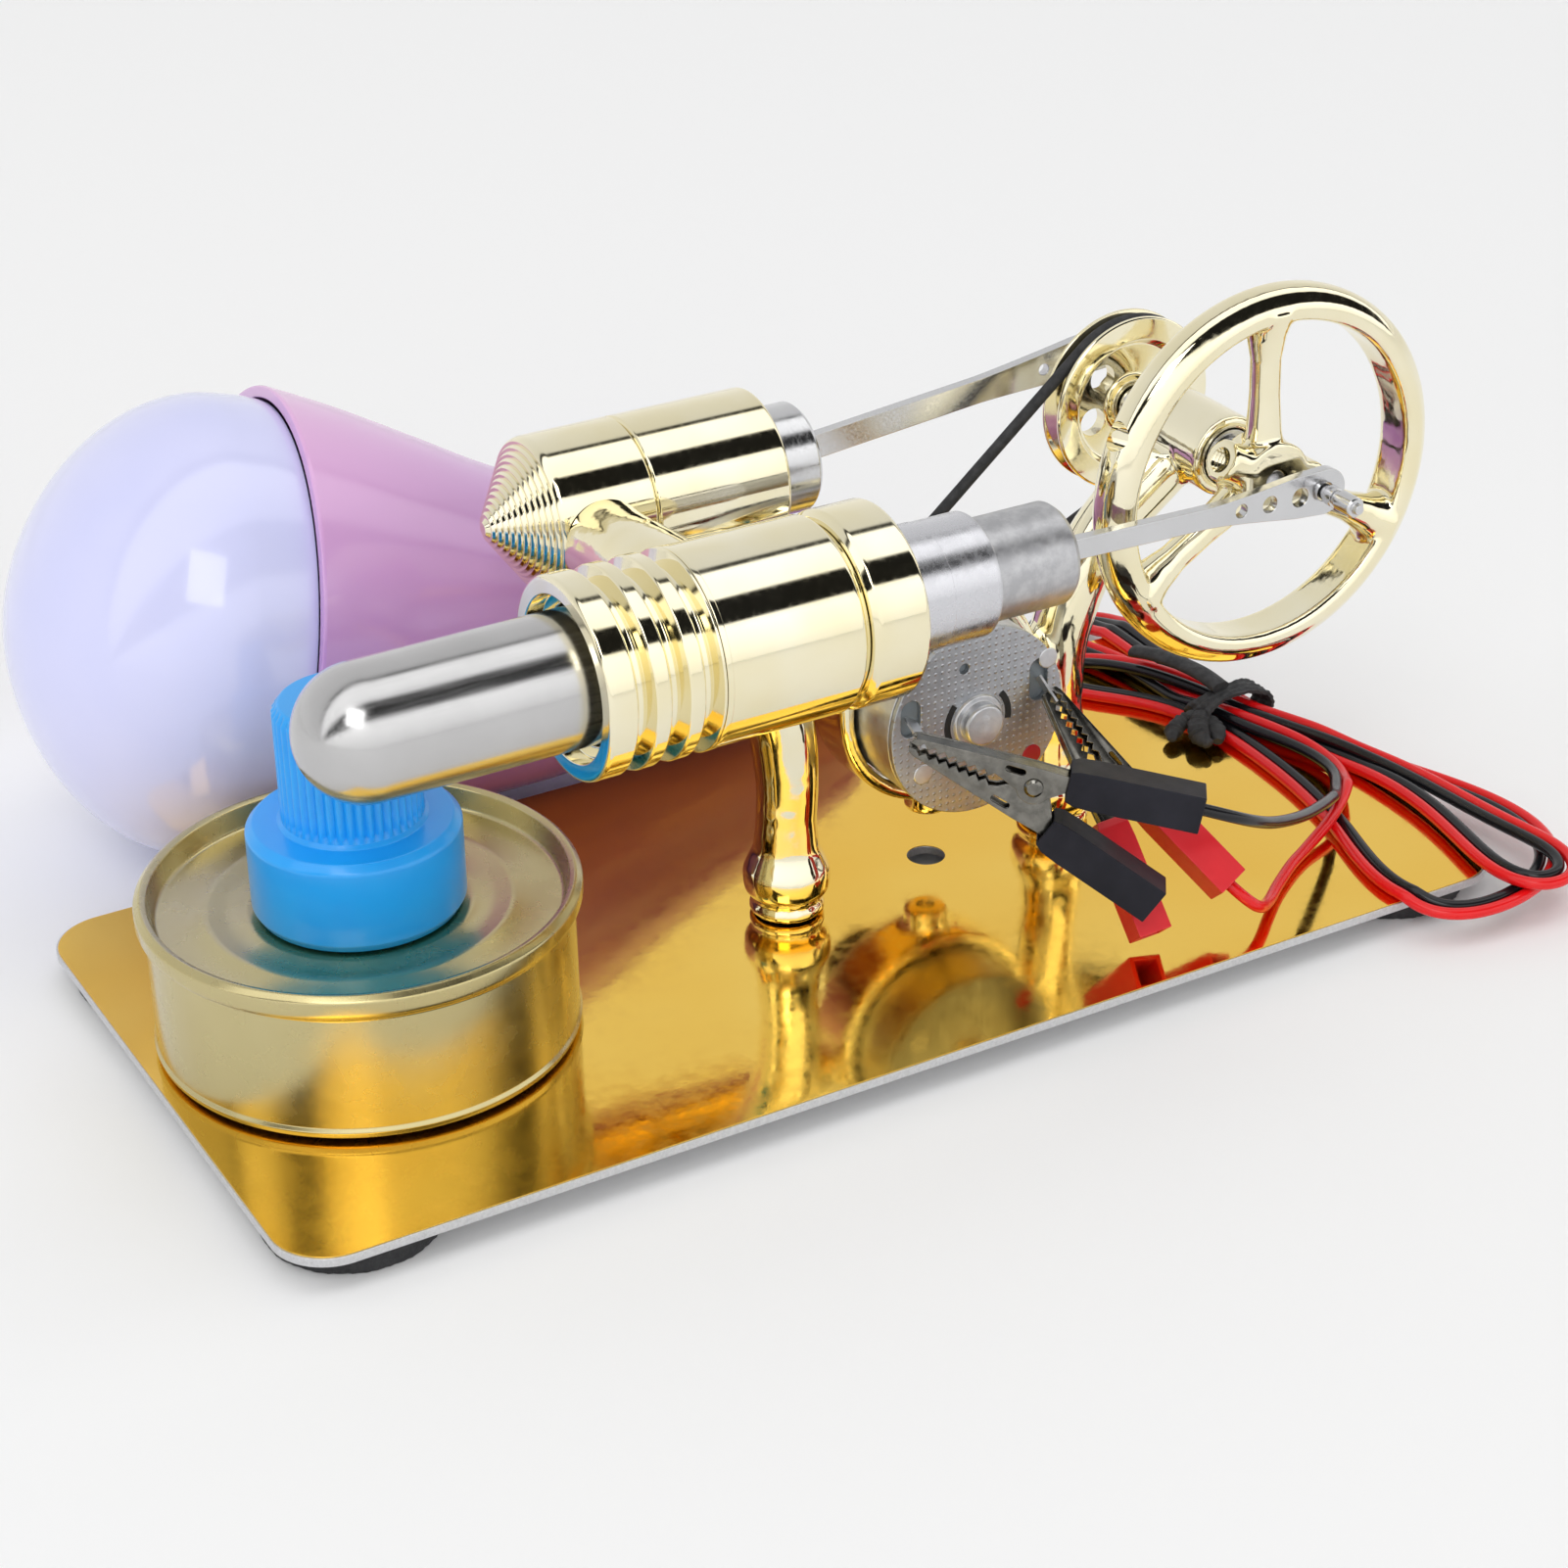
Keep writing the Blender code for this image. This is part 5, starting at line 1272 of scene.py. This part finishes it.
def jaw(colour, part, sign, body):
    """A folded jaw: two toothed cheeks and the web over them, with a slot near the rivet."""
    tip, along, opening, across, size = clip_frame(colour)
    basis = Matrix((along, opening, across)).transposed().to_quaternion()
    reach = 1.45 if part == "upper" else 1.0
    slot = arc((16.0, 3.0 * sign), 0.55, QUARTER, 3 * QUARTER, 8)
    slot += arc((18.3, 3.3 * sign), 0.55, -QUARTER, QUARTER, 8)
    loops = [[(u * size, v * size) for u, v in loop] for loop in (jaw_side(sign), slot)]
    cheeks = [flat_mesh(loops, 0.42, tip + across * side * reach * size, basis, 0.08, 2)
              for side in (-1, 1)]
    web = bmesh.new()
    rows = []
    for u, v in ((0.6, 1.45), (10.0, 3.2), (20.0, 4.9), (27.0, 5.8), (42.0, 7.9)):
        row = []
        for w, drop in ((-reach + 0.1, 0.0), (reach - 0.1, 0.0), (reach - 0.1, -0.45),
                        (-reach + 0.1, -0.45)):
            at = tip + (along * u + opening * sign * (v + drop) + across * w) * size
            row.append(web.verts.new(world(at)))
        rows.append(row)
    return keep(merged([*cheeks, loft(web, rows)]), f"clip_{colour}_{part}_plate", body,
                f"clip_{colour}_jaw_{part}", NICKEL, 30)


def grip(colour, part, sign, body):
    """A hollow square sleeve, waisted at its front, open at its back."""
    tip, along, opening, across, size = clip_frame(colour)
    lean = sign * radians(12)
    centre = tip + (along * 36.5 + opening * sign * 6.7) * size
    run = along * cos(lean) + opening * sin(lean)
    rise = opening * cos(lean) - along * sin(lean)
    work = bmesh.new()
    rings = []
    for u, v, w in ((-11.0, 2.55, 2.8), (-9.6, 3.05, 3.1), (-6.5, 3.2, 3.2), (11.0, 3.2, 3.2),
                    (11.0, 2.3, 2.4), (-11.0, 2.2, 2.3)):
        ring = []
        for sv, sw in ((-1, -1), (1, -1), (1, 1), (-1, 1)):
            at = centre + (run * u + rise * v * sv + across * w * sw) * size
            ring.append(work.verts.new(world(at)))
        rings.append(ring)
    loft(work, rings, closed=True)
    bmesh.ops.recalc_face_normals(work, faces=work.faces)
    bmesh.ops.bevel(work, geom=list(work.edges), offset=0.32 * MM, segments=3, profile=0.6,
                    affect="EDGES", clamp_overlap=True)
    return keep(work, f"clip_{colour}_{part}_grip", body, f"clip_{colour}_sleeve_{part}",
                GRIPS[colour], 40, True)


def rivet(colour):
    """The pin through both jaws' cheeks: a head at each end, one of them ringed."""
    tip, along, opening, across, size = clip_frame(colour)
    place = tip + (along * RIVET_AT[0] + opening * RIVET_AT[1]) * size
    half = 2.0 * size
    profile = [(-half - 0.35, 0), (-half - 0.35, 0.55, 0.2), (-half - 0.1, 0.7, 0.1),
               (-half - 0.35, 1.1, 0.2), (-half, 1.5, 0.15), (-half + 0.3, 1.5), (-half + 0.3, 0.8),
               (half - 0.3, 0.8), (half - 0.3, 1.5), (half, 1.5, 0.15), (half + 0.35, 1.0, 0.2),
               (half + 0.35, 0)]
    return lathe(f"clip_{colour}_rivet", "root", None, NICKEL, profile, place, across, 40, 0.1)


def clips():
    """Both clips, and for each colour a list of its pieces."""
    made = {}
    for colour in CLIPS:
        made[colour] = [rivet(colour)]
        for part, sign, body in (("upper", 1, f"clip_{colour}_upper"), ("lower", -1, "root")):
            made[colour].append(jaw(colour, part, sign, body))
            made[colour].append(grip(colour, part, sign, body))
    return made


# Burner


def knurl(station, radius, angle):
    """Fine upright ribs round the cap's narrow part."""
    if not 43.2 < station < 60.6 or radius <= 10.2:
        return 0.0
    wave = 0.5 + 0.5 * cos(44 * angle)
    return -0.55 * (1 - wave ** 0.6)


def burner():
    """The tin with its rolled rim and the two soft beads in its lid, and the screw cap."""
    outer, rim, top = 32.4, 33.7, 31.1
    low = PLATE_TOP + 0.3
    tin = [(low, 0), (low, 31.0, 0.4), (low + 0.5, 32.5, 0.5), (low + 1.5, 32.8, 0.4),
           (low + 2.1, outer, 0.4), (26.6, outer, 0.8), (27.6, rim - 0.2, 0.7),
           (28.4, rim, 0.5), (top - 0.9, rim, 0.7), (top, rim - 1.0, 0.6),
           (top - 0.4, rim - 2.0, 0.4), (27.4, rim - 2.9, 0.8), (27.2, 28.6, 0.4),
           (27.2, 25.4, 1.0), (27.7, 23.8, 1.2), (27.7, 22.6, 1.2), (27.15, 20.8, 1.2),
           (27.15, 18.4, 0.8), (27.4, 17.6, 0.6), (27.4, 16.6, 0.6), (27.2, 15.6, 0.6),
           (27.2, 8.2), (26.6, 8.2), (26.4, 30.6), (low + 1.5, 31.6), (low + 0.8, 0)]
    lathe("tin_body", "root", "burner_tin", TIN, tin, BURNER, AXIS_UP, 220, 0.3, corner_steps=5)
    ribs = [(station, 10.7, 0.0) for station in (43.6, 44.2, 52.0, 59.8, 60.4)]
    cap = [(27.6, 13.6), (27.6, 15.4, 0.5), (29.0, 16.2, 0.8), (41.0, 16.2, 1.0),
           (42.2, 15.0, 0.6), (42.4, 11.3, 0.4), (43.0, 10.7, 0.1), *ribs, (61.8, 9.6, 0.7),
           (61.8, 0), (60.2, 0), (60.2, 8.6), (40.0, 8.6), (40.0, 13.6)]
    lathe("screw_cap", "cap", "burner_cap", BLUE, cap, BURNER, AXIS_UP, 352, 0.3, 50, ripple=knurl)


# Bulb


def bulb_axis():
    level = cos(BULB_TILT)
    return Vector((cos(BULB_HEADING) * level, sin(BULB_HEADING) * level,
                   sin(BULB_TILT)))


def dome_radius(station):
    t = min(1.0, max(0.0, (station - DOME_START) / (DOME_END - DOME_START)))
    return DOME_RADIUS * (1 - t ** DOME_POWER) ** (1 / DOME_POWER)


def bulb():
    """Diffuser, body and strain relief, turned about the bulb's own axis."""
    axis = bulb_axis()
    deep = DOME_END - DOME_START
    wall = 1.2
    stations = [DOME_START + deep * sin(QUARTER * i / 30) for i in range(31)]
    skin = [(0.04, 37.9, 0.05), (2.0, 38.35, 0), (5.0, 38.62, 0)]
    skin += [(s, dome_radius(s), 0) for s in stations]
    skin[-1] = (DOME_END, 0)
    lining = [(s - wall * (s - DOME_START) / deep, dome_radius(s) * 0.969, 0)
              for s in reversed(stations)]
    lining[0] = (DOME_END - wall, 0)
    lathe("bulb_dome", "root", "bulb_diffuser", MILKY, [*skin, *lining, (0.04, 37.0)], BULB_SEAM,
          axis, 160, 0.1, 50)
    body = [(112, 9.0), (108.5, 11.6), (102, 13.4), (95.4, 14.9), (79.5, 18.3), (63.6, 22.7),
            (50.9, 26.4), (38.2, 29.6), (25.4, 33.6), (12.7, 37.4), (3.5, 39.7)]
    fine = smooth_route([(station, radius, 0) for station, radius in body], 5)
    shell = [(-point.x, point.y, 0) for point in fine]
    hollow = [(-point.x, point.y - 1.4, 0) for point in reversed(fine[4::6])]
    profile = [(-112.0, 2.6), *shell, (-0.6, 40.3, 0.5), (0.0, 40.2, 0.4), (0.0, 38.3, 0.3),
               *hollow, (-110.0, 2.6)]
    lathe("bulb_shell", "root", "bulb_body", PINK, profile, BULB_SEAM, axis, 160, 0.2, 50)
    gland = [(0.3, 0), (0.3, 4.3, 0.3), (1.6, 4.3, 0.4), (2.2, 3.9, 0.3), (2.8, 3.9, 0.3),
             (3.4, 3.5, 0.3), (4.0, 3.5, 0.3), (4.6, 3.1, 0.3), (5.2, 3.1, 0.3), (8.0, 2.5, 0.4),
             (8.0, 0)]
    lathe("bulb_strain_relief", "root", "bulb_gland", RUBBER, gland, BULB_SEAM - axis * 112.0,
          -axis, 56, 0.3)


camera()
floor()
plain_colours()
sky()
lamp("key", (-0.9, -1.1, 1.6), (0, 0, 0.03), 0.9, 9.0)
dress_cad_nodes()
cords(clips())
plate()
feet()
casting()
displacer_side()
rods()
crank_pins()
power_side()
flywheel()
set_screw()
pulley_wheel()
shaft()
belt()
generator()
burner()
bulb()
